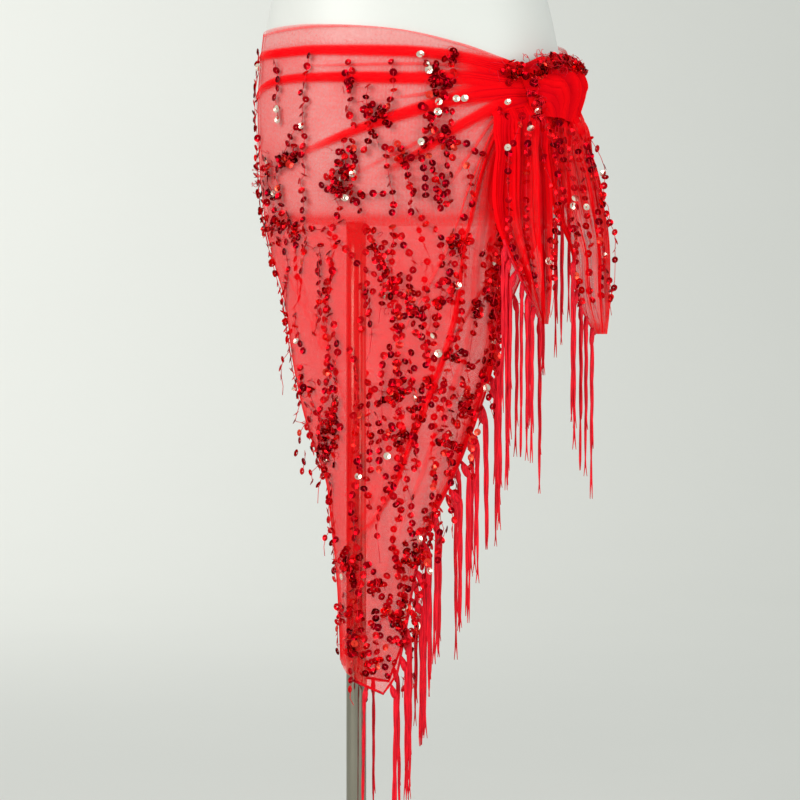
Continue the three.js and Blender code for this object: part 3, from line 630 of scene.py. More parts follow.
# how both tails are drawn in millimetres of height: where the rows start, where the upper part widens, where it
# leans out at the top, and above where the cloth is dense. Then what differs: front and rear share of yarn from the
# middle to the rims, how dark the painted shade in the valleys is, how far the left edge is moved out, and the two
# leans
tails = {"pleats": 3, "pleatTurn": (883, 900), "rows": 120, "columns": 150, "top": 908, "fine": 0.35,
         "creases": 9, "widens": (845, 886), "edgeWidens": (738, 805), "leans": (878, 906), "rightMove": 7,
         "dense": 1.06, "denseAbove": 778}
frontTailLook = {"cover": (0.96, 1.05), "dark": 0.5, "leftMove": (10, 14), "lean": (1, -4),
                 "topLean": (-9, 15)}
rearTailLook = {"cover": (0.72, 1.0), "dark": 0.3, "leftMove": (18, 0), "lean": (6, -6), "topLean": (-8, 7)}


# places of a hanging tail: from its left edge to its right along the chord, moved out by the pleat wave,
# a sine whose phase turns slowly on the way down. With a look, its top is wider and leans, and the wave is finer
def tailPoints(table, z, across, seed, look=None):
    leftX, leftY, rightX, rightY, pleat = (smoothRead(table[:, 0], table[:, k], z) for k in range(1, 6))
    if look:
        top, under = ease(*tails["widens"], z), ease(*tails["leans"], z)
        leftX = leftX - look["leftMove"][0] * ease(*tails["edgeWidens"], z) - look["leftMove"][1] * top
        rightX = rightX + tails["rightMove"] * top
        moveX, moveY = (look["lean"][k] * top + look["topLean"][k] * under for k in (0, 1))
        leftX, rightX, leftY, rightY = leftX + moveX, rightX + moveX, leftY + moveY, rightY + moveY
    chordX, chordY = rightX - leftX, rightY - leftY
    length = np.hypot(chordX, chordY)
    turned = (tails["pleatTurn"][0] - z) / tails["pleatTurn"][1]
    wave = np.sin(2 * np.pi * (tails["pleats"] * across + turned))
    if look:
        wave = wave + tails["fine"] * ripple(across * 34, z / 60, seed)
        bent = tails["creases"] * across + 0.8 * ripple(across * 7, z / 130, seed + 9)
        wave = 0.72 * wave - 0.55 * (1 - np.abs(np.sin(np.pi * bent))) ** 2
    x = leftX + chordX * across + chordY / length * pleat * wave
    y = leftY + chordY * across - chordX / length * pleat * wave
    return np.stack([x, y, z + 0 * across], -1), wave


# a tail's cloth: its share of yarn goes from the middle's to the rims' with an even S, and on to dense in the
# pleats that stand out, near the top and at the hem; its shade value is painted shade, which rises in the pleats'
# valleys and runs in fine streaks
def makeTail(name, table, node, seed, look):
    z = np.linspace(tails["top"], table[0, 0], tails["rows"])[:, None]
    across = np.linspace(1, 0, tails["columns"])[None]
    points, wave = tailPoints(table, z, across, seed, look)
    rim = np.minimum(across, 1 - across)
    streak = ripple(across * 60, z / 90, seed + 3)
    middle, edge = look["cover"]
    cover = middle + (edge - middle) * (1 - ease(0.05, 0.2, rim - 0.06 * streak))
    cover = cover + (0.97 - cover) * ease(-0.1, 0.9, wave) * 0.6
    cover = cover + (tails["dense"] - cover) * ease(-0.3, 0.5, (z - tails["denseAbove"]) / 70 + 0.3 * streak)
    cover = cover + (0.95 - cover) * (1 - ease(0.02, 0.1, (z - table[0, 0]) / 200))
    # painted shade: the pleats' valleys are darker, with fine dark streaks between the pleats
    valley = np.clip(0.5 - 0.5 * wave, 0, 1) ** 1.5
    shade = np.clip(look["dark"] * valley + 0.3 * ripple(across * 130, z / 140, seed + 4), 0, 1)
    uv = np.stack([across + 0 * z, z * 0.02 + 0 * across], -1) * np.array([0.09, 0.05])
    rows, columns = points.shape[:2]
    piece = newPiece(name, points.reshape(-1, 3), gridFaces(rows, columns)[:, ::-1], net,
                     uv=uv.reshape(-1, 2), values={"cover": cover, "shade": shade})
    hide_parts(node)
    return piece


frontTail = makeTail("frontTailNet", frontTailRows, "front_tail", 31, frontTailLook)
rearTail = makeTail("rearTailNet", rearTailRows, "rear_tail", 32, rearTailLook)
print("tails made")

knotShape = {"from": -48, "to": -13, "low": 884, "high": 950, "rim": 9, "puff": 18, "seat": 3.4, "rows": 90,
             "columns": 130, "lobes": 4, "lobe": 0.16, "wrinkles": 13, "crease": 2.4, "ruffle": 2.2,
             "farDrop": 10, "cover": 1.1, "flat": (0.11, 0.08)}


# the knot: gathered cloth over the net. Its height is a rim and a swell, 1 less the cube of the way from the
# middle, parted by a cosine into lobes that fan out downwards, with narrow creases and a ruffled crown
def makeKnot():
    shape = knotShape
    across = np.linspace(0, 1, shape["columns"])[None]
    down = np.linspace(0, 1, shape["rows"])[:, None]
    drawnIn = 1 - 0.1 * ease(0.1, 0.8, down) * across
    angle = shape["to"] + (shape["from"] - shape["to"]) * across * drawnIn
    z = shape["high"] + (shape["low"] - shape["high"]) * down * (1 + 0.05 * ripple(across * 7, 0 * down, 44))
    z = z - shape["farDrop"] * ease(0.55, 1, across) * (1 - down)
    swell = 1 - np.abs(2 * across ** 0.8 - 1) ** 3
    swell = swell * (1 - np.clip(1 - 2 * down, 0, 1) ** 3) * (1 - 0.7 * ease(0.4, 1, down))
    fan = np.hypot(1.9 * (1 - across), 1.1 - down) * 0.6 + 0.03 * ripple(across * 4, down * 4, 43)
    uneven = 0.15 * ripple(down * 2, fan * 3, 40)
    lobe = 1 + shape["lobe"] * np.cos(2 * np.pi * (shape["lobes"] * fan + uneven))
    wrinkle = np.abs(np.sin(np.pi * (shape["wrinkles"] * fan + 0.9 * ripple(across * 9, down * 4, 41))))
    crown = (1 - ease(0.1, 0.34, down)) * ripple(across * 22, down * 26, 42)
    edge = np.minimum(np.minimum(across * 8, (1 - across) * 2.6), np.minimum(down * 7, 0.55 + (1 - down) * 5))
    rim = shape["rim"] * np.sqrt(np.clip(1 - (1 - np.clip(edge, 0, 1)) ** 2, 0, 1))
    out = (shape["seat"] + rim + shape["puff"] * swell * lobe + shape["ruffle"] * crown * swell
           - shape["crease"] * (1 - wrinkle) ** 2 * swell)
    points = ovalPoints(drapeLevels, z, angle, out)
    # a slight darkening all over the knot, and painted shade in the narrow wrinkles, the hollows between the lobes
    # and the dips of the crown
    shade = np.clip(0.15 + (1 - wrinkle) ** 4 * 0.3 + 1.4 * (1 - lobe) + 0.5 * np.clip(-crown, 0, 1), 0, 1)
    cover = shape["cover"] + 0 * out
    uv = np.stack([across * shape["flat"][0] + 0 * down, down * shape["flat"][1] + 0 * across], -1)
    piece = newPiece("knotCloth", points.reshape(-1, 3), gridFaces(*points.shape[:2])[:, ::-1], net,
                     uv=uv.reshape(-1, 2), values={"cover": cover, "shade": shade})
    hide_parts("knot")
    print("knot made")
    return piece


knotCloth = makeKnot()

# Fringe
hemFringe = {"pitch": 32, "lanes": 6, "start": 4.5, "step": 5.8, "spread": 0.28, "low": 2.0}
tailFringe = {"pitch": 14, "lanes": 3, "start": 4.0, "step": 4.5, "spread": 0.8, "low": 0.0}
strandShape = {"drop": 160, "least": 0.88, "more": 0.24, "inner": 0.82, "yarn": 1.25, "beside": 0.8, "twists": 1.6,
               "steps": 22, "sides": 6, "laneTurn": 560, "laneFade": 90, "formFade": 120, "lowLanes": 4, "tuftStep": 1.4,
               "sway": 5, "bend": 7, "bendShare": 0.35, "sideDrop": 16, "knot": 2.7, "split": 1.3, "apart": 1.1,
               "tip": 0.9}


# a value from 0 to 1 that is the same each time: the fraction of a large sine
def vary(seed):
    value = np.sin(seed * 12.9898) * 43758.5453
    return value - np.floor(value)


# vectors of length 1
def unit(vectors):
    return vectors / np.maximum(np.linalg.norm(vectors, axis=-1, keepdims=True), 1e-9)


# the strip beside an edge: the edge moved away from the cloth by the seam and half the strip's width
def stripFrames(edge, inward, normals):
    run = unit(np.concatenate([edge[1:2] - edge[:1], edge[2:] - edge[:-2], edge[-1:] - edge[-2:-1]]))
    away = edge - inward
    away = unit(away - run * (away * run).sum(-1, keepdims=True))
    middle = edge + away * (hang["seam"] + hang["stripWide"] / 2) + normals * hang["stripLift"]
    return middle, away, normals


# tufts at an even pitch along a strip, each of a few strands. A strand leaves the strip, bends over to its
# own lane and hangs straight: its sideways share is 1 less a power of what is left of the bend
def strandPaths(frames, look, tuft, seed):
    middle, away, out = frames
    lengths = np.concatenate([[0], np.cumsum(np.linalg.norm(np.diff(middle, axis=0), axis=1))])
    count = max(int(lengths[-1] / look["pitch"] + 0.5), 2)
    at = lengths[-1] * (np.arange(count) + 0.5) / count
    read = [np.stack([np.interp(at, lengths, part[:, k]) for k in range(3)], -1)
            for part in (middle, away, out)]
    root, away, out = (np.repeat(part, tuft, 0) for part in read)
    away, out = unit(away), unit(out)
    k, n = np.repeat(np.arange(count), tuft), np.tile(np.arange(tuft), count)
    above = root[:, 2] - strandShape["laneTurn"]
    crowded = np.clip(above / strandShape["laneFade"], 0, 1)
    number = crowded * (k % look["lanes"]) + look["low"] * (1 - crowded) * (k % strandShape["lowLanes"])
    lane = look["start"] + n * strandShape["tuftStep"] + look["step"] * number
    length = strandShape["drop"] * (strandShape["least"] + strandShape["more"] * vary(seed + k * 7 + n * 3))
    length = length * np.where(n == 1, strandShape["inner"], 1)
    steep = np.hypot(away[:, 0], away[:, 1])
    byForm = np.clip(above / strandShape["formFade"], 0, 1)
    flat = np.array([1, 1, 0])
    beside = unit(out * flat)
    outward = away * flat
    outward = outward - beside * (outward * beside).sum(-1, keepdims=True)
    outward[:, 1] *= byForm
    outward = unit(outward)
    lateral = lane * steep * look["spread"]
    sway = (vary(seed + k * 5) - 0.5) * strandShape["sway"] + (vary(seed + k * 5 + n) - 0.5)
    part = np.linspace(0, 1, strandShape["steps"]) ** 1.3
    down = length[:, None] * part
    bend = (strandShape["bend"] + lateral * strandShape["bendShare"])[:, None]
    share = 1 - (1 - np.clip(down / bend, 0, 1)) ** 1.4
    side = (1 + n * strandShape["apart"])[:, None] * np.minimum(down / strandShape["sideDrop"], 1)
    loose = 0.5 * np.sin(down / 26 + k[:, None] * 2.1 + n[:, None]) * part
    moved = lateral[:, None] * share + sway[:, None] * part + loose
    paths = root[:, None] + outward[:, None] * moved[..., None] + beside[:, None] * side[..., None]
    paths[:, :, 2] -= down
    return paths, part, k, n


# a run of fringe: the edge strip, and for each strand two yarns that turn round each other and part at
# the tip, with a small round knot at the root
def makeFringe(name, node, frames, look, tuft, seed):
    paths, part, k, n = strandPaths(frames, look, tuft, seed)
    count = len(paths)
    yarns, radii = [], []
    for half in (0, np.pi):
        turn = half + k[:, None] * 1.3 + 2 * np.pi * strandShape["twists"] * part
        apart = strandShape["beside"] * (1 - 0.4 * part)
        apart = apart + strandShape["split"] * ease(strandShape["tip"], 1.0, part)
        twisted = paths.copy()
        twisted[:, :, 0] += apart * np.cos(turn)
        twisted[:, :, 1] += apart * np.sin(turn) * (1 - 0.5 * part)
        yarns.append(twisted)
        thick = strandShape["yarn"] * (1 - 0.35 * part) * (1 - 0.6 * ease(strandShape["tip"], 1.0, part))
        radii.append(np.repeat(thick[None], count, 0) * (0.9 + 0.25 * vary(k * 3 + n))[:, None])
    vertices, faces = tubes(np.concatenate(yarns), np.concatenate(radii), strandShape["sides"])
    knotWay = np.linspace(0, 1, 7)
    knotPaths = paths[:, :1] + (paths[:, 4:5] - paths[:, :1]) * (0.15 + 0.75 * knotWay)[None, :, None]
    knotRadii = strandShape["knot"] * np.sqrt(np.clip(1 - (2 * knotWay - 1) ** 2, 0.04, 1))
    knotVertices, knotFaces = tubes(knotPaths, np.repeat(knotRadii[None], count, 0), 8)
    middle, away, out = frames
    turn = 2 * np.pi * np.arange(8) / 8
    strip = (middle[:, None] + away[:, None] * (hang["stripWide"] / 2 * np.cos(turn))[None, :, None]
             + out[:, None] * (hang["stripThick"] / 2 * np.sin(turn))[None, :, None])
    stripVertices, stripFaces = ringSurface(strip)
    sets = [(vertices, faces), (knotVertices, knotFaces), (stripVertices, stripFaces.tolist())]
    allVertices = np.concatenate([one for one, _ in sets])
    starts = np.cumsum([0] + [len(one) for one, _ in sets])
    allFaces = [[v + start for v in face] for start, (_, those) in zip(starts, sets) for face in those]
    piece = newPiece(name, allVertices, allFaces, yarn)
    weld(piece, 0.000001)
    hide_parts(node)
    print(name, "made", len(piece.data.polygons))


# the net's short edge as strip frames, read at the same places as the part's own edge
def hemFrames(side, count, first, last):
    along = 1 - (1 - np.arange(count + 1) / count) ** 1.15
    along = along[first:last + 1]
    if side == "back":
        along = along[::-1]
    edgeAngle, edgeZ = rayPlaces(side, 6.0, along)
    innerAngle, innerZ = rayPlaces(side, 5.82, along)
    pressed = np.minimum(0.35 + along / 0.16, 1)
    raised = 1.2 * ease(0, 1, (0.9 - along) / 0.22) * pressed
    middle = hang["wall"] / 2
    points = ovalPoints(drapeLevels, edgeZ, edgeAngle, middle)
    inward = ovalPoints(drapeLevels, innerZ, innerAngle, middle + 1.1 * raised)
    outside = ovalPoints(drapeLevels, edgeZ, edgeAngle, hang["wall"])
    normals = unit(outside - ovalPoints(drapeLevels, edgeZ, edgeAngle, 0.0))
    return stripFrames(points, inward, normals)


makeFringe("fringeFrontEdge", "fringe_front", hemFrames("front", 24, 2, 23), hemFringe, 3, 1)
makeFringe("fringeBackEdge", "fringe_back", hemFrames("back", 21, 2, 20), hemFringe, 2, 40)


# a tail's left edge as strip frames, from a chosen row of the part's own rows downwards
def tailFrames(table, firstRow):
    levels = table[::-1, 0]
    z = np.sort(np.concatenate([levels, (levels[1:] + levels[:-1]) / 2]))[::-1]
    columns = 15
    across = 1 - np.arange(columns + 1) / columns
    grid, _ = tailPoints(table, z[:, None], across[None], 31)
    alongRow = np.concatenate([grid[:, :1] - grid[:, 1:2], grid[:, :-2] - grid[:, 2:],
                               grid[:, -2:-1] - grid[:, -1:]], 1)
    downRow = np.concatenate([grid[1:2] - grid[:1], grid[2:] - grid[:-2], grid[-1:] - grid[-2:-1]])
    normals = unit(np.cross(downRow, alongRow))
    return stripFrames(grid[firstRow:, -1], grid[firstRow:, -2], normals[firstRow:, -1])


makeFringe("fringeFrontTailEdge", "fringe_front_tail", tailFrames(frontTailRows, 8), tailFringe, 2, 80)
makeFringe("fringeRearTailEdge", "fringe_rear_tail", tailFrames(rearTailRows, 8), tailFringe, 2, 120)

# Sequins: cupped foil rings threaded in strings
# sizes and tones: dark is the share of dark ones below the form, painted shade for sequins turned from the light,
# and darkMore what is added to it on the form. stitchTone is the stitch's pale colour, a thread with a painted
# highlight
sequin = {"radius": 4.0, "hole": 0.7, "cup": 0.9, "sides": 10, "pitch": 9.6, "thread": 0.4, "lift": 3.6, "tilt": 32,
          "sizes": (0.88, 1.06), "stitch": 0.42, "stitchTone": 0.955, "dark": 0.28, "darkMore": 0.34,
          "darkFrom": (770, 800), "darkTones": (0.05, 0.4), "redTones": (0.45, 0.85), "warmTones": (0.86, 0.93),
          "warm": 0.05}
toLight = np.array([-0.3, -0.9, 0.35])  # the way that pale sequins face, near the front light


# one cupped ring for each centre: two circles across its normal, the outer one raised by the cup, and one
# stitch from its hole over its rim
def ringDiscs(centres, normals, sizes):
    helper = unit(np.cross(normals, np.array([0.21, 0.17, 0.96])))
    other = np.cross(normals, helper)
    turn = 2 * np.pi * np.arange(sequin["sides"]) / sequin["sides"]
    circle = helper[:, None] * np.cos(turn)[None, :, None] + other[:, None] * np.sin(turn)[None, :, None]
    size = sizes[:, None, None]
    inner = centres[:, None] + circle * sequin["hole"] * size
    outer = centres[:, None] + circle * sequin["radius"] * size + normals[:, None] * sequin["cup"] * size
    lift = centres + normals * (sequin["cup"] + 0.25)
    way, beside = circle[:, 3] * sequin["radius"] * 0.92 * sizes[:, None], circle[:, 8] * sequin["stitch"]
    stitch = np.stack([centres + normals * 0.3 - beside, lift + way - beside, lift + way + beside,
                       centres + normals * 0.3 + beside], 1)
    vertices = np.concatenate([inner, outer, stitch], 1)
    ends = 2 * sequin["sides"]
    stitchFace = [[ends, ends + 1, ends + 2, ends + 3]]
    faces = np.concatenate([gridFaces(2, sequin["sides"], closed=True), stitchFace])
    shift = np.arange(len(centres))[:, None, None] * vertices.shape[1]
    return vertices.reshape(-1, 3), (faces[None] + shift).reshape(-1, 4)


# sequins at their centres, each turned a little from its facing and sized by chance. The shares dark, warm and
# bright set how many are dark with painted shade, warm red, and pale with a painted highlight
def makeSequins(name, centres, facing, seed, bright=0.02, loose=0.8, dark=None):
    luck = np.random.default_rng(seed)
    count = len(centres)
    tilt = luck.normal(0, np.tan(np.radians(sequin["tilt"])), (count, 3))
    normals = unit(facing + tilt * loose)
    sizes = luck.uniform(*sequin["sizes"], count)
    pick = luck.uniform(0, 1, count)
    if dark is None:
        dark = sequin["dark"] + sequin["darkMore"] * ease(*sequin["darkFrom"], centres[:, 2])
    # dark tones are painted shade, and tone 1 is a pale painted highlight
    darkTone, redTone = luck.uniform(*sequin["darkTones"], count), luck.uniform(*sequin["redTones"], count)
    tone = np.where(pick < dark, darkTone, redTone)
    tone = np.where(pick > 1 - bright - sequin["warm"], luck.uniform(*sequin["warmTones"], count), tone)
    tone = np.where(pick > 1 - bright, 1.0, tone)
    vertices, faces = ringDiscs(centres, normals, sizes)
    ringSize = len(vertices) // count
    # the stitch takes the pale stitch tone: a thread with a painted highlight
    onRing = np.arange(ringSize)[None] < ringSize - 4
    newPiece(name, vertices, faces, foil, smooth=False,
             values={"tone": np.where(onRing, tone[:, None], sequin["stitchTone"])})
    print(name, "made", count)


# thin threads along rows of places
def makeThreads(name, ways, thick):
    vertices, faces = tubes(ways, np.full(ways.shape[:2], thick), 3)
    newPiece(name, vertices, faces, yarn)


# the way out from the pole's axis at an angle, with a rise
def outwardAt(angle, rise):
    return unit(np.stack([np.cos(np.radians(angle)), np.sin(np.radians(angle)), rise + 0 * angle], -1))


# the photograph's viewpoint in millimetres, and the width that its frame spans at the aim
view = {"place": (46, -3200, 650), "aim": (46, 0, 595), "field": 840, "sensor": 36, "frame": 800}

# strings stitched to the front, each a route of points given across and down in the photograph's 800 x 800 frame
stringPixels = [
    [278, 62, 282, 84, 278, 100, 281, 112, 282, 120],
    [311, 56, 310, 67, 308, 81, 303, 94, 310, 101, 303, 109, 307, 116, 304, 126, 293, 132, 292, 142,
     286, 153, 283, 159],
    [303, 128, 307, 139, 304, 153, 306, 164, 307, 173, 303, 180, 306, 198, 306, 209, 306, 218],
    [351, 62, 353, 76, 353, 87, 352, 98, 349, 108, 354, 127],
    [346, 142, 344, 156, 350, 164, 346, 178, 333, 192, 342, 205, 340, 217],
    [353, 139, 354, 153, 357, 171, 353, 184, 354, 198, 360, 209, 364, 217],
    [368, 87, 367, 99, 368, 109, 367, 120, 372, 130, 371, 139, 362, 156],
    [392, 62, 393, 76, 394, 92, 389, 103, 390, 106, 375, 117, 371, 130, 383, 148],
    [386, 148, 387, 162, 389, 173, 390, 184, 393, 192, 394, 203, 394, 214],
    [400, 159, 407, 167, 408, 177, 414, 187, 414, 195],
    [325, 185, 333, 187, 339, 189, 350, 187],
    [365, 195, 374, 194, 383, 195, 392, 192],
    [444, 131, 436, 142, 428, 139, 417, 153, 408, 159, 401, 162],
    [422, 159, 425, 178, 426, 198],
    [433, 170, 435, 181, 435, 192, 440, 209],
    [442, 176, 444, 198, 446, 212],
    [261, 52, 264, 60, 261, 76, 254, 92, 253, 109, 258, 126, 261, 139, 258, 164, 258, 184, 258, 200,
     261, 214, 267, 234],
    [281, 159, 278, 176, 281, 189, 286, 200, 276, 214],
    [283, 159, 290, 164, 292, 172],
    [422, 55, 426, 64, 438, 76, 432, 86, 429, 96, 451, 82, 454, 70],
    [438, 76, 435, 91, 437, 102, 438, 114, 451, 108, 450, 120, 444, 129, 426, 129, 425, 138, 421, 143],
    [426, 146, 429, 161, 435, 173, 437, 185, 438, 196, 441, 208],
    [441, 138, 446, 152, 446, 164, 449, 176, 444, 188, 451, 204],
    [447, 143, 459, 143, 469, 146, 478, 155, 485, 157],
    [466, 167, 469, 185, 471, 196, 472, 208],
    [407, 167, 409, 180, 409, 188, 413, 194, 409, 205, 413, 214],
    [498, 110, 509, 121, 504, 127],
    [259, 211, 262, 223, 268, 235, 264, 248, 268, 265, 270, 275],
    [276, 246, 274, 254, 276, 265, 277, 282, 277, 297, 279, 307, 279, 316],
    [283, 243, 288, 253, 293, 271, 289, 280, 290, 295, 288, 306, 289, 317, 286, 325, 287, 332, 287, 341,
     288, 350, 290, 359, 287, 368, 284, 376],
    [297, 316, 298, 325, 299, 333, 302, 341, 306, 351, 308, 359],
    [295, 351, 294, 369, 294, 378, 297, 387, 294, 396, 295, 404],
    [306, 384, 305, 393, 312, 395],
    [284, 224, 293, 222, 298, 229, 306, 231, 314, 229, 324, 231, 336, 227, 346, 220],
    [282, 239, 293, 243, 302, 245, 310, 245, 316, 248, 324, 248],
    [308, 253, 304, 263, 305, 273],
    [324, 253, 325, 263, 319, 276, 328, 277, 329, 286, 324, 295, 320, 305, 320, 315, 319, 325, 317, 334,
     316, 343],
    [330, 252, 334, 263, 336, 273, 333, 285, 331, 297, 330, 311, 334, 319, 336, 329, 338, 343, 340, 355,
     336, 365, 338, 375, 334, 389, 336, 403],
    [329, 363, 329, 373, 330, 382, 331, 391, 331, 402],
    [332, 239, 344, 246, 349, 252, 356, 261, 370, 271, 378, 277, 388, 291, 382, 297],
    [375, 231, 374, 241, 378, 253, 376, 263, 380, 267, 388, 267],
    [394, 227, 393, 237, 394, 245, 388, 253, 392, 263, 388, 273, 393, 284, 390, 292, 394, 300, 390, 306,
     398, 315, 392, 323, 400, 325, 399, 331, 394, 343, 388, 348, 394, 359, 398, 369, 394, 377, 392, 385,
     390, 395],
    [368, 283, 368, 297, 371, 305, 370, 313],
    [362, 321, 365, 330],
    [402, 237, 404, 249, 414, 257, 414, 266, 409, 275, 409, 290, 409, 305, 414, 319, 412, 326, 416, 333,
     422, 334, 420, 341, 425, 342, 427, 351, 433, 358],
    [416, 209, 420, 219, 430, 227, 436, 233, 441, 241, 440, 253, 442, 265, 447, 273, 440, 285, 442, 291,
     438, 301, 437, 311, 434, 321, 436, 329, 430, 341],
    [368, 382, 378, 391, 388, 392, 398, 393, 414, 389, 420, 390, 431, 382, 426, 377],
    [452, 235, 457, 243, 465, 241, 454, 252, 463, 252, 454, 263, 462, 270, 454, 278, 457, 287, 450, 293,
     447, 302, 438, 300, 437, 311, 435, 322, 433, 335, 433, 348],
    [483, 246, 480, 254, 482, 265, 487, 276, 485, 287, 483, 302, 475, 303],
    [487, 259, 489, 272, 496, 287, 500, 296, 496, 307, 498, 317, 496, 330, 498, 348],
    [449, 350, 457, 359, 464, 357, 465, 370, 473, 361, 482, 360],
    [443, 383, 452, 389, 452, 398, 461, 404, 460, 411],
    [295, 395, 296, 405, 297, 414, 295, 422, 301, 420, 300, 428, 301, 436, 299, 444],
    [305, 453, 303, 470, 302, 480],
    [296, 453, 293, 460],
    [315, 464, 312, 471, 313, 480, 311, 489],
    [326, 467, 325, 478],
    [310, 404, 316, 409, 312, 421, 311, 430, 316, 440, 318, 448, 323, 454, 327, 462, 329, 470, 335,
     476],
    [313, 395, 322, 418, 322, 426, 327, 436, 327, 446, 334, 443, 342, 437, 336, 450, 337, 460, 338,
     470],
    [336, 404, 335, 413, 333, 422, 334, 432, 336, 440],
    [369, 396, 370, 418, 370, 427, 372, 440, 372, 450, 372, 458, 372, 470, 366, 485, 369, 493, 370, 502,
     374, 512],
    [378, 414, 379, 424, 382, 432, 382, 440, 381, 452, 380, 462, 379, 476],
    [392, 394, 396, 406, 400, 414, 392, 426, 398, 422, 400, 438, 404, 448, 404, 460, 406, 470, 406, 480,
     406, 489, 411, 496, 411, 511, 408, 518, 413, 526, 406, 530, 416, 536, 405, 544, 408, 552, 405, 560,
     400, 570, 402, 578],
    [416, 399, 424, 410, 420, 420, 414, 430, 413, 444, 414, 456, 414, 466, 416, 474],
    [430, 427, 440, 433, 447, 440],
    [447, 403, 448, 412, 449, 420, 450, 428],
    [386, 478, 392, 484, 392, 494, 398, 500, 400, 510, 398, 521],
    [468, 430, 472, 446, 468, 458, 470, 468, 464, 468],
    [453, 398, 461, 404, 464, 412],
    [451, 477, 454, 486, 452, 494, 446, 503],
    [428, 538, 435, 544, 436, 554],
    [444, 530, 445, 542, 443, 550],
    [339, 564, 336, 572, 340, 577, 335, 581],
    [334, 530, 337, 538, 342, 545],
    [360, 566, 369, 565, 374, 572, 378, 580, 383, 587],
    [350, 560, 356, 570, 350, 578, 356, 584],
    [347, 594, 348, 602],
    [342, 622, 338, 628, 343, 632, 338, 636, 340, 653, 345, 650],
    [353, 575, 357, 580, 353, 590, 355, 600, 352, 608, 358, 610, 365, 618, 353, 623, 352, 632, 348, 640,
     355, 647, 352, 656],
    [377, 610, 376, 620, 370, 623, 378, 625, 375, 632, 377, 638, 380, 633, 375, 645, 377, 651, 378, 657,
     384, 663, 386, 672, 387, 680],
    [400, 569, 402, 577, 403, 587, 402, 595, 397, 599, 397, 612, 398, 620, 402, 623, 396, 629, 404, 631,
     398, 642, 402, 652],
    [416, 582, 417, 590, 419, 598, 420, 608, 412, 605, 405, 605, 407, 612, 412, 614, 418, 618, 423, 627,
     418, 627, 426, 635, 419, 637, 420, 646],
    [387, 638, 393, 638, 387, 645, 383, 648],
]
# sequins of the front that lie square to the light, pale with a painted highlight, in the same frame
glintPixels = [
    (281, 109), (282, 120), (305, 126), (355, 174), (345, 179), (421, 142), (420, 55), (426, 65), (455, 99),
    (463, 99), (437, 112), (438, 102), (268, 235), (276, 246), (301, 341), (297, 388), (490, 341), (456, 286),
    (388, 456), (412, 615), (424, 626),
]


# x and height under points of the frame: each point's ray, eye + t (aim - eye + pixel (a right + b up)), is
# met with the depth of the net's ovals at its own x and height, in a few turns
def underPixels(points):
    points = np.asarray(points, float).reshape(-1, 2)
    eye, ahead = np.array(view["place"], float), np.subtract(view["aim"], view["place"])
    right = np.array([1.0, 0, 0])
    top = unit(np.cross(right, ahead))
    away = (points - view["frame"] / 2) * view["field"] / view["frame"]
    ray = ahead + away[:, :1] * right - away[:, 1:] * top
    depth = np.zeros(len(points))
    for _ in range(6):
        places = eye + ray * ((depth - eye[1]) / ray[:, 1])[:, None]
        angle, _ = angleAt(drapeLevels, places[:, 2], places[:, 0], -1)
        depth = ovalPoints(drapeLevels, places[:, 2], angle, 0.0)[:, 1]
    return places[:, [0, 2]]


# places at an even pitch along a string's way, each a little off it
def evenPlaces(way, luck):
    lengths = np.concatenate([[0], np.cumsum(np.hypot(*np.diff(way, axis=0).T))])
    at = np.arange(0, max(lengths[-1], 0.1), sequin["pitch"])
    places = np.stack([np.interp(at, lengths, way[:, k]) for k in (0, 1)], -1)
    return places + luck.normal(0, 0.7, places.shape)


# a place in space for x and height: on the net's ovals and a little proud of them, or plumb and free at
# the side where it lies outside them
def onNet(side, x, z, lift=sequin["lift"]):
    z = np.clip(z, drapeLevels[0, 0] + 2, 990)
    angle, _ = angleAt(drapeLevels, z, x, side)
    places = ovalPoints(drapeLevels, z, angle, lift)
    places[..., 0] = np.where(np.abs(places[..., 0] - x) > lift + 2, x, places[..., 0])
    return places, outwardAt(angle, 0.1)


# the strings whose routes were chosen on the photograph, their threads, and the pale sequins among them, coloured
# as painted highlights
def frontStrings():
    luck = np.random.default_rng(45)
    centres, facing, ways = [], [], []
    for pixels in stringPixels:
        even = evenPlaces(underPixels(pixels), luck)
        places, outward = onNet(-1, even[:, 0], even[:, 1])
        places[:, 1] -= luck.uniform(0, 1.6, len(places))
        centres.append(places)
        facing.append(outward)
        at, steps = np.linspace(0, 1, 24), np.linspace(0, 1, len(places))
        ways.append(np.stack([np.interp(at, steps, places[:, k]) for k in range(3)], -1))
    makeSequins("frontSequins", np.concatenate(centres), np.concatenate(facing), 46, bright=0.01)
    makeThreads("frontThreads", np.array(ways), sequin["thread"])
    glints = underPixels(glintPixels)
    places, outward = onNet(-1, glints[:, 0], glints[:, 1], sequin["lift"] + 1.5)
    makeSequins("frontGlints", places, unit(outward + toLight), 47, bright=1.0, loose=0.25)


frontStrings()

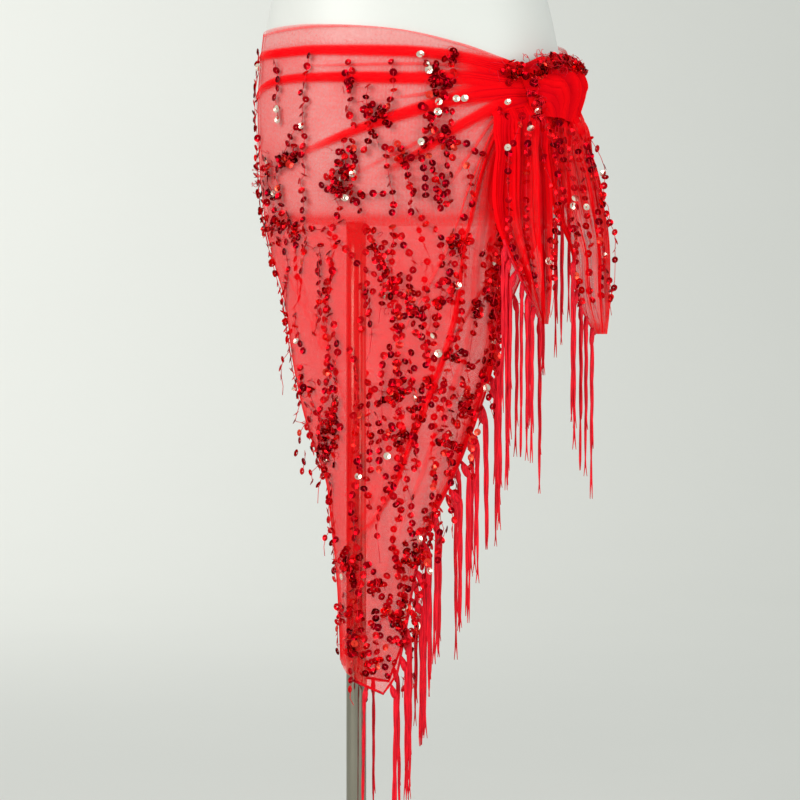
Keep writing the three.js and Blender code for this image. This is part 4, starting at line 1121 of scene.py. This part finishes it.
# bunches where strings have tangled: x, height, spread and how many
bunches = np.array([
    (82, 926, 9, 18), (97, 941, 7, 9), (88, 908, 8, 8), (150, 930, 9, 6), (-84, 806, 9, 18), (-80, 776, 12, 26),
    (-58, 768, 14, 20), (-4, 826, 8, 10), (-6, 806, 10, 10), (40, 712, 16, 18), (18, 752, 14, 12),
    (104, 756, 12, 14), (90, 700, 12, 10), (-48, 608, 12, 14), (-30, 560, 10, 14), (-26, 536, 8, 8),
    (44, 560, 16, 16), (48, 610, 20, 14), (76, 606, 14, 12), (108, 592, 10, 10), (96, 550, 8, 8),
    (22, 400, 10, 12), (-8, 420, 7, 12), (46, 372, 9, 12), (-69, 842, 8, 14), (-60, 850, 7, 8), (-12, 842, 9, 12),
    (-22, 815, 7, 8), (-4, 918, 6, 6), (20, 894, 7, 8), (30, 884, 7, 8), (77, 878, 9, 12), (93, 857, 8, 8),
    (46, 847, 8, 8), (-88, 836, 8, 10), (-97, 820, 6, 6), (-31, 548, 12, 22), (-20, 578, 9, 14), (42, 602, 12, 14),
    (112, 598, 10, 14), (94, 548, 10, 14), (56, 432, 8, 18), (34, 368, 16, 22), (14, 322, 9, 12), (0, 345, 8, 12),
    (-8, 372, 7, 12), (-8, 428, 9, 14), (58, 350, 10, 16), (96, 640, 10, 14), (124, 690, 9, 14), (60, 690, 10, 10),
], float)


# x and height by chance about each row's place, within its spread
def aroundBunches(rows, luck, wide):
    x = rows[:, 0] + luck.normal(0, wide, len(rows)) * rows[:, 2]
    z = rows[:, 1] + luck.normal(0, 0.8, len(rows)) * rows[:, 2]
    return x, z


# the sequins of the bunches, lying on those below them
def makeBunches():
    luck = np.random.default_rng(91)
    x, z = aroundBunches(np.repeat(bunches, bunches[:, 3].astype(int), 0), luck, 0.6)
    places, outward = onNet(-1, x, z, sequin["lift"] + 0.8)
    makeSequins("bunchSequins", places, outward, 92)


makeBunches()

edge = {"count": 74, "along": (0.12, 0.97), "ray": 5.9, "waver": 0.14, "chains": 15, "long": (3, 8)}


# a chain of sequins along the front short edge, and short ones that hang free from it
def edgeChains():
    luck = np.random.default_rng(95)
    count = edge["count"]
    along = np.linspace(*edge["along"], count) + luck.normal(0, 0.004, count)
    ray = edge["ray"] - edge["waver"] * np.abs(np.sin(along * 31)) + luck.normal(0, 0.02, count)
    angle, z = rayPlaces("front", ray, along)
    places = ovalPoints(drapeLevels, z, angle, sequin["lift"] + 1)
    outward = outwardAt(angle, 0)
    starts = luck.choice(np.arange(4, count - 4), edge["chains"], replace=False)
    long = luck.integers(*edge["long"], len(starts))
    most = edge["long"][1]
    chains = np.repeat(places[starts][:, None], most, 1)
    step = np.arange(most)[None]
    chains[..., 2] -= 6 + sequin["pitch"] * step
    chains[..., 0] += 3 + luck.normal(0, 1.1, step.shape) + 2 * np.sin(0.8 * step + starts[:, None])
    chains[..., 1] -= 5
    shown = step < long[:, None]
    facing = np.repeat(outward[starts][:, None], most, 1)
    centres, facing = np.concatenate([places, chains[shown]]), np.concatenate([outward, facing[shown]])
    makeSequins("edgeSequins", centres, facing, 96)
    makeThreads("edgeThreads", chains, sequin["thread"])


edgeChains()


# strings that hang on the net: each goes down from its start by even steps with a small waver
def stringPlaces(side, x, z, lean, count, seed):
    luck = np.random.default_rng(seed)
    step = np.arange(count)[None]
    phase = luck.uniform(0, 6.28, (len(x), 2))
    wide = luck.uniform(1.5, 5.0, (len(x), 1))
    fall = np.sqrt(1 - np.minimum(np.abs(lean), 0.9)[:, None] ** 2)
    height = z[:, None] - sequin["pitch"] * step * fall
    across = (x[:, None] + sequin["pitch"] * step * lean[:, None] + wide * np.sin(step * 0.62 + phase[:, :1])
              + luck.normal(0, 0.8, (len(x), count)))
    places, outward = onNet(side, across, height)
    depth = np.abs(places[..., 1])
    plumb = np.maximum.accumulate(depth, axis=1)
    places[..., 1] = side * (depth + 0.45 * (plumb - depth))
    return places, outward


# whether a place on the net's face lies inside its outline: above the short edge and below the top edge
def insideNet(side, x, z):
    along = np.linspace(0.0, 1, 80)
    name = "front" if side < 0 else "back"
    edges = []
    for ray in (0.15, 5.9):
        angle, height = rayPlaces(name, ray, along)
        places = ovalPoints(drapeLevels, height, angle, 0)
        order = np.argsort(places[:, 0])
        edges.append(np.interp(x, places[order, 0], places[order, 2]))
    return (z < edges[0]) & (z > edges[1])


# starts on a staggered lattice, each moved a little by chance, where they lie on the net
def latticeStrings(side, seed, spacing, top):
    luck = np.random.default_rng(seed)
    x, z = np.meshgrid(np.arange(-96, 205, spacing[0]), np.arange(top, 330, -spacing[1]), indexing="ij")
    z = z - (np.arange(x.shape[0])[:, None] % 2) * spacing[1] / 2
    x = (x + luck.uniform(-9, 9, x.shape)).ravel()
    z = (z + luck.uniform(-14, 14, z.shape)).ravel()
    keep = angleAt(drapeLevels, z, x, side)[1] & insideNet(side, x, z)
    return x[keep], z[keep]


# strings of chance lengths from the lattice's starts
def addStrings(name, side, seed, spacing, top):
    x, z = latticeStrings(side, seed, spacing, top)
    luck = np.random.default_rng(seed + 1)
    count = 9
    lean = luck.normal(0, 0.08, len(x))
    places, outward = stringPlaces(side, x, z, lean, count, seed + 2)
    long = luck.integers(6, count + 1, len(x))
    shown = np.arange(count)[None] < long[:, None]
    makeSequins(name + "Sequins", places[shown], outward[shown], seed + 3)
    makeThreads(name + "Threads", places, sequin["thread"])


addStrings("back", 1, 61, (34, 66), 960)
addStrings("frontLow", -1, 65, (33, 62), 752)


# dark: the share of dark sequins on the tails, painted shade
tailString = {"count": 22, "top": 884, "sway": 0.06, "waver": 0.012, "lift": 3.5, "missing": 0.12, "dark": 0.3,
              "facing": np.array([0.35, -0.93, 0.1])}


# strings on a tail: down its pleats, and a free one beside it
def tailStrings(name, table, across, seed):
    luck = np.random.default_rng(seed)
    step, each = np.arange(tailString["count"])[None], (len(across), 1)
    z = tailString["top"] - sequin["pitch"] * step + luck.uniform(-4, 4, each)
    turn = step * luck.uniform(0.3, 0.9, each) + luck.uniform(0, 6, each)
    share = np.array(across)[:, None] + tailString["sway"] * np.sin(turn) + luck.normal(
        0, tailString["waver"], turn.shape)
    outward = tailString["facing"]
    places = tailPoints(table, z, share, seed)[0] + outward * tailString["lift"]
    shown = (z > min(table[0, 0] + 30, 720)) & (luck.uniform(0, 1, share.shape) > tailString["missing"])
    facing = np.repeat(outward[None], shown.sum(), 0)
    makeSequins(name + "Sequins", places[shown], facing, seed + 1, dark=tailString["dark"])
    makeThreads(name + "Threads", places, sequin["thread"])


tailStrings("frontTail", frontTailRows, [0.97, 1.03, 0.5, 0.08], 71)
tailStrings("rearTail", rearTailRows, [-0.05, 0.03, 0.2, 0.52, 0.74, 0.93, 1.02], 72)


# the angle and height on the knot at shares across it and down it
def onKnot(across, down):
    angle = knotShape["to"] + (knotShape["from"] - knotShape["to"]) * across
    return angle, knotShape["high"] + (knotShape["low"] - knotShape["high"]) * down


# a crown of sequins over the knot's upper edge
def knotCrown():
    luck = np.random.default_rng(81)
    across = luck.uniform(0.0, 1, 120) ** 0.85 * 1.16
    down = luck.uniform(-0.02, 0.24, 120) + 0.16 * ease(0.6, 1.0, across)
    angle, z = onKnot(across, down)
    swell = np.clip(1 - (2 * across - 1) ** 4, 0, 1) * (1 - (2 * down - 1) ** 4)
    rim = knotShape["rim"] * (1 - 0.5 * ease(0.95, 1.15, across))
    places = ovalPoints(drapeLevels, z, angle, knotShape["seat"] + rim + knotShape["puff"] * swell + 3)
    # the crown's dark sequins carry painted shade
    makeSequins("knotSequins", places, outwardAt(angle, 0.5), 82, dark=0.4)


knotCrown()

curl = {"points": 9, "radius": (2.5, 6.5), "thread": 0.35}


# loose thread ends: each an arc of its own radius and length in a plane of its own, about its centre
def makeCurls(name, centres, seed):
    luck = np.random.default_rng(seed)
    first = unit(luck.normal(0, 1, centres.shape))
    second = unit(np.cross(first, unit(luck.normal(0, 1, centres.shape))))
    turn = np.linspace(0, 1, curl["points"])[None] * luck.uniform(2.0, 5.5, (len(centres), 1))
    radius = luck.uniform(*curl["radius"], (len(centres), 1)) * (1 + 0.25 * np.sin(1.7 * turn))
    arcs = first[:, None] * np.cos(turn)[..., None] + second[:, None] * np.sin(turn)[..., None]
    makeThreads(name, centres[:, None] + arcs * radius[..., None], curl["thread"])


# places for single pale ones, painted highlights: x, height and how far out from the net, and x, y and height in
# space
nearGlints = np.array([(183, 925, 14), (149, 899, 12), (212, 884, 19)], float)
tailGlints = [(155, -118, 852), (179, -102, 872), (256, -43, 830), (258, -46, 745)]
crease = {"at": 178, "spread": 4.5, "count": 26, "high": (866, 934), "levels": [866, 884, 900, 934],
          "out": [14, 14, 13, 13], "facing": [[0.4, -0.9, 0.1]]}


# sequins in the crease at the knot's near side, and loose thread ends there, on its crown and in the bunches
def knotCrease():
    luck = np.random.default_rng(85)
    count = crease["count"]
    x = crease["at"] + luck.normal(0, crease["spread"], count)
    z = luck.uniform(*crease["high"], count)
    out = np.interp(z, crease["levels"], crease["out"]) + luck.uniform(0, 2, count)
    places = ovalPoints(drapeLevels, z, angleAt(drapeLevels, z, x, -1)[0], out)
    makeSequins("creaseSequins", places, np.repeat(crease["facing"], count, 0), 86)
    across, down = luck.uniform(0.05, 1.0, 70), luck.uniform(0, 0.3, 70)
    angle, height = onKnot(across, down)
    crown = ovalPoints(drapeLevels, height, angle, knotShape["rim"] + 14 * (1 - (2 * across - 1) ** 4) + 4)
    onBunch = onNet(-1, *aroundBunches(np.repeat(bunches, 4, 0), luck, 0.7), sequin["lift"] + 3)[0]
    # single pale sequins coloured as painted highlights
    x, z, out = nearGlints.T
    near = ovalPoints(drapeLevels, z, angleAt(drapeLevels, z, x, -1)[0], out)
    bright = np.concatenate([near, tailGlints])
    makeSequins("brightSequins", bright, np.repeat(toLight[None], len(bright), 0), 88, bright=1.0, loose=0.25)
    makeCurls("threadCurls", np.concatenate([np.repeat(places, 2, 0), crown, onBunch]), 87)


knotCrease()
# Room, lights and camera
room = {"wide": 9000, "front": -7600, "wall": 7600, "round": 3000, "high": 5600,
        "tone": (0.75, 0.757, 0.728), "dim": 0.98}


# floor and wall in one: straight back, a quarter circle up, then straight up
def makeRoom():
    turn = np.linspace(0, np.pi / 2, 24)
    start = room["wall"] - room["round"]
    y = np.concatenate([[room["front"], 0], start + room["round"] * np.sin(turn), [room["wall"]]])
    z = np.concatenate([[0, 0], room["round"] * (1 - np.cos(turn)), [room["high"]]]) - 0.2
    x = np.linspace(-room["wide"] / 2, room["wide"] / 2, 9)
    points = np.stack([x[None] + 0 * y[:, None], y[:, None] + 0 * x[None], z[:, None] + 0 * x[None]], -1)
    material, nodes, links, output = newMaterial("palePaper")
    dim = tuple(room["dim"] * part for part in room["tone"])
    tone = addRamp(nodes, links, addNoise(nodes, links, 2.0, 3.0), [(0, dim + (1,)), (1, room["tone"] + (1,))])
    paper = addSurface(nodes, links, tone, Roughness=0.9, Specular_IOR_Level=0.1)
    links.new(paper, output.inputs[0])
    mesh = bpy.data.meshes.new("room")
    mesh.from_pydata((points.reshape(-1, 3) * mm).tolist(), [], gridFaces(len(y), len(x)).tolist())
    mesh.polygons.foreach_set("use_smooth", np.full(len(mesh.polygons), True))
    mesh.materials.append(material)
    sweep = bpy.data.objects.new("room", mesh)
    bpy.context.scene.collection.objects.link(sweep)


makeRoom()
print("room made")


# a soft light, given in metres, turned to its aim
def areaLight(name, place, aim, size, power, colour):
    data = bpy.data.lights.new(name, "AREA")
    data.shape = "RECTANGLE"
    data.size, data.size_y = size
    data.energy = power
    data.color = colour
    lamp = bpy.data.objects.new(name, data)
    bpy.context.scene.collection.objects.link(lamp)
    lamp.location = place
    lamp.rotation_euler = (Vector(aim) - Vector(place)).to_track_quat("-Z", "Y").to_euler()


# each lamp's place and aim in metres, its size, power and colour
lamps = {
    "leftSoft": ((-1.9, -2.2, 1.9), (0.0, 0.0, 0.8), (1.6, 1.8), 60, (1.0, 0.98, 0.95)),
    "rightFill": ((2.4, -2.0, 1.3), (0.0, 0.0, 0.7), (1.6, 1.6), 36, (0.97, 0.99, 0.97)),
    "wallLeft": ((-2.6, 4.0, 4.2), (-1.6, 6.6, 0.6), (2.4, 2.4), 120, (1.0, 0.99, 0.97)),
}
air = {"colour": (0.93, 0.97, 0.95, 1), "strength": 0.565}
for name, values in lamps.items():
    areaLight(name, *values)
world = bpy.data.worlds.new("studioAir")
world.use_nodes = True
backdrop = world.node_tree.nodes["Background"]
backdrop.inputs[0].default_value = air["colour"]
backdrop.inputs[1].default_value = air["strength"]
bpy.context.scene.world = world
bpy.context.scene.view_settings.view_transform = "Standard"

lens = bpy.data.cameras.new("view")
lens.sensor_width = view["sensor"]
eye, aim = Vector(view["place"]), Vector(view["aim"])
lens.lens = view["sensor"] * (aim - eye).length / view["field"]
lens.clip_end = 20
camera = bpy.data.objects.new("view", lens)
bpy.context.scene.collection.objects.link(camera)
camera.location = eye * mm
camera.rotation_euler = (aim - eye).to_track_quat("-Z", "Y").to_euler()
bpy.context.scene.camera = camera
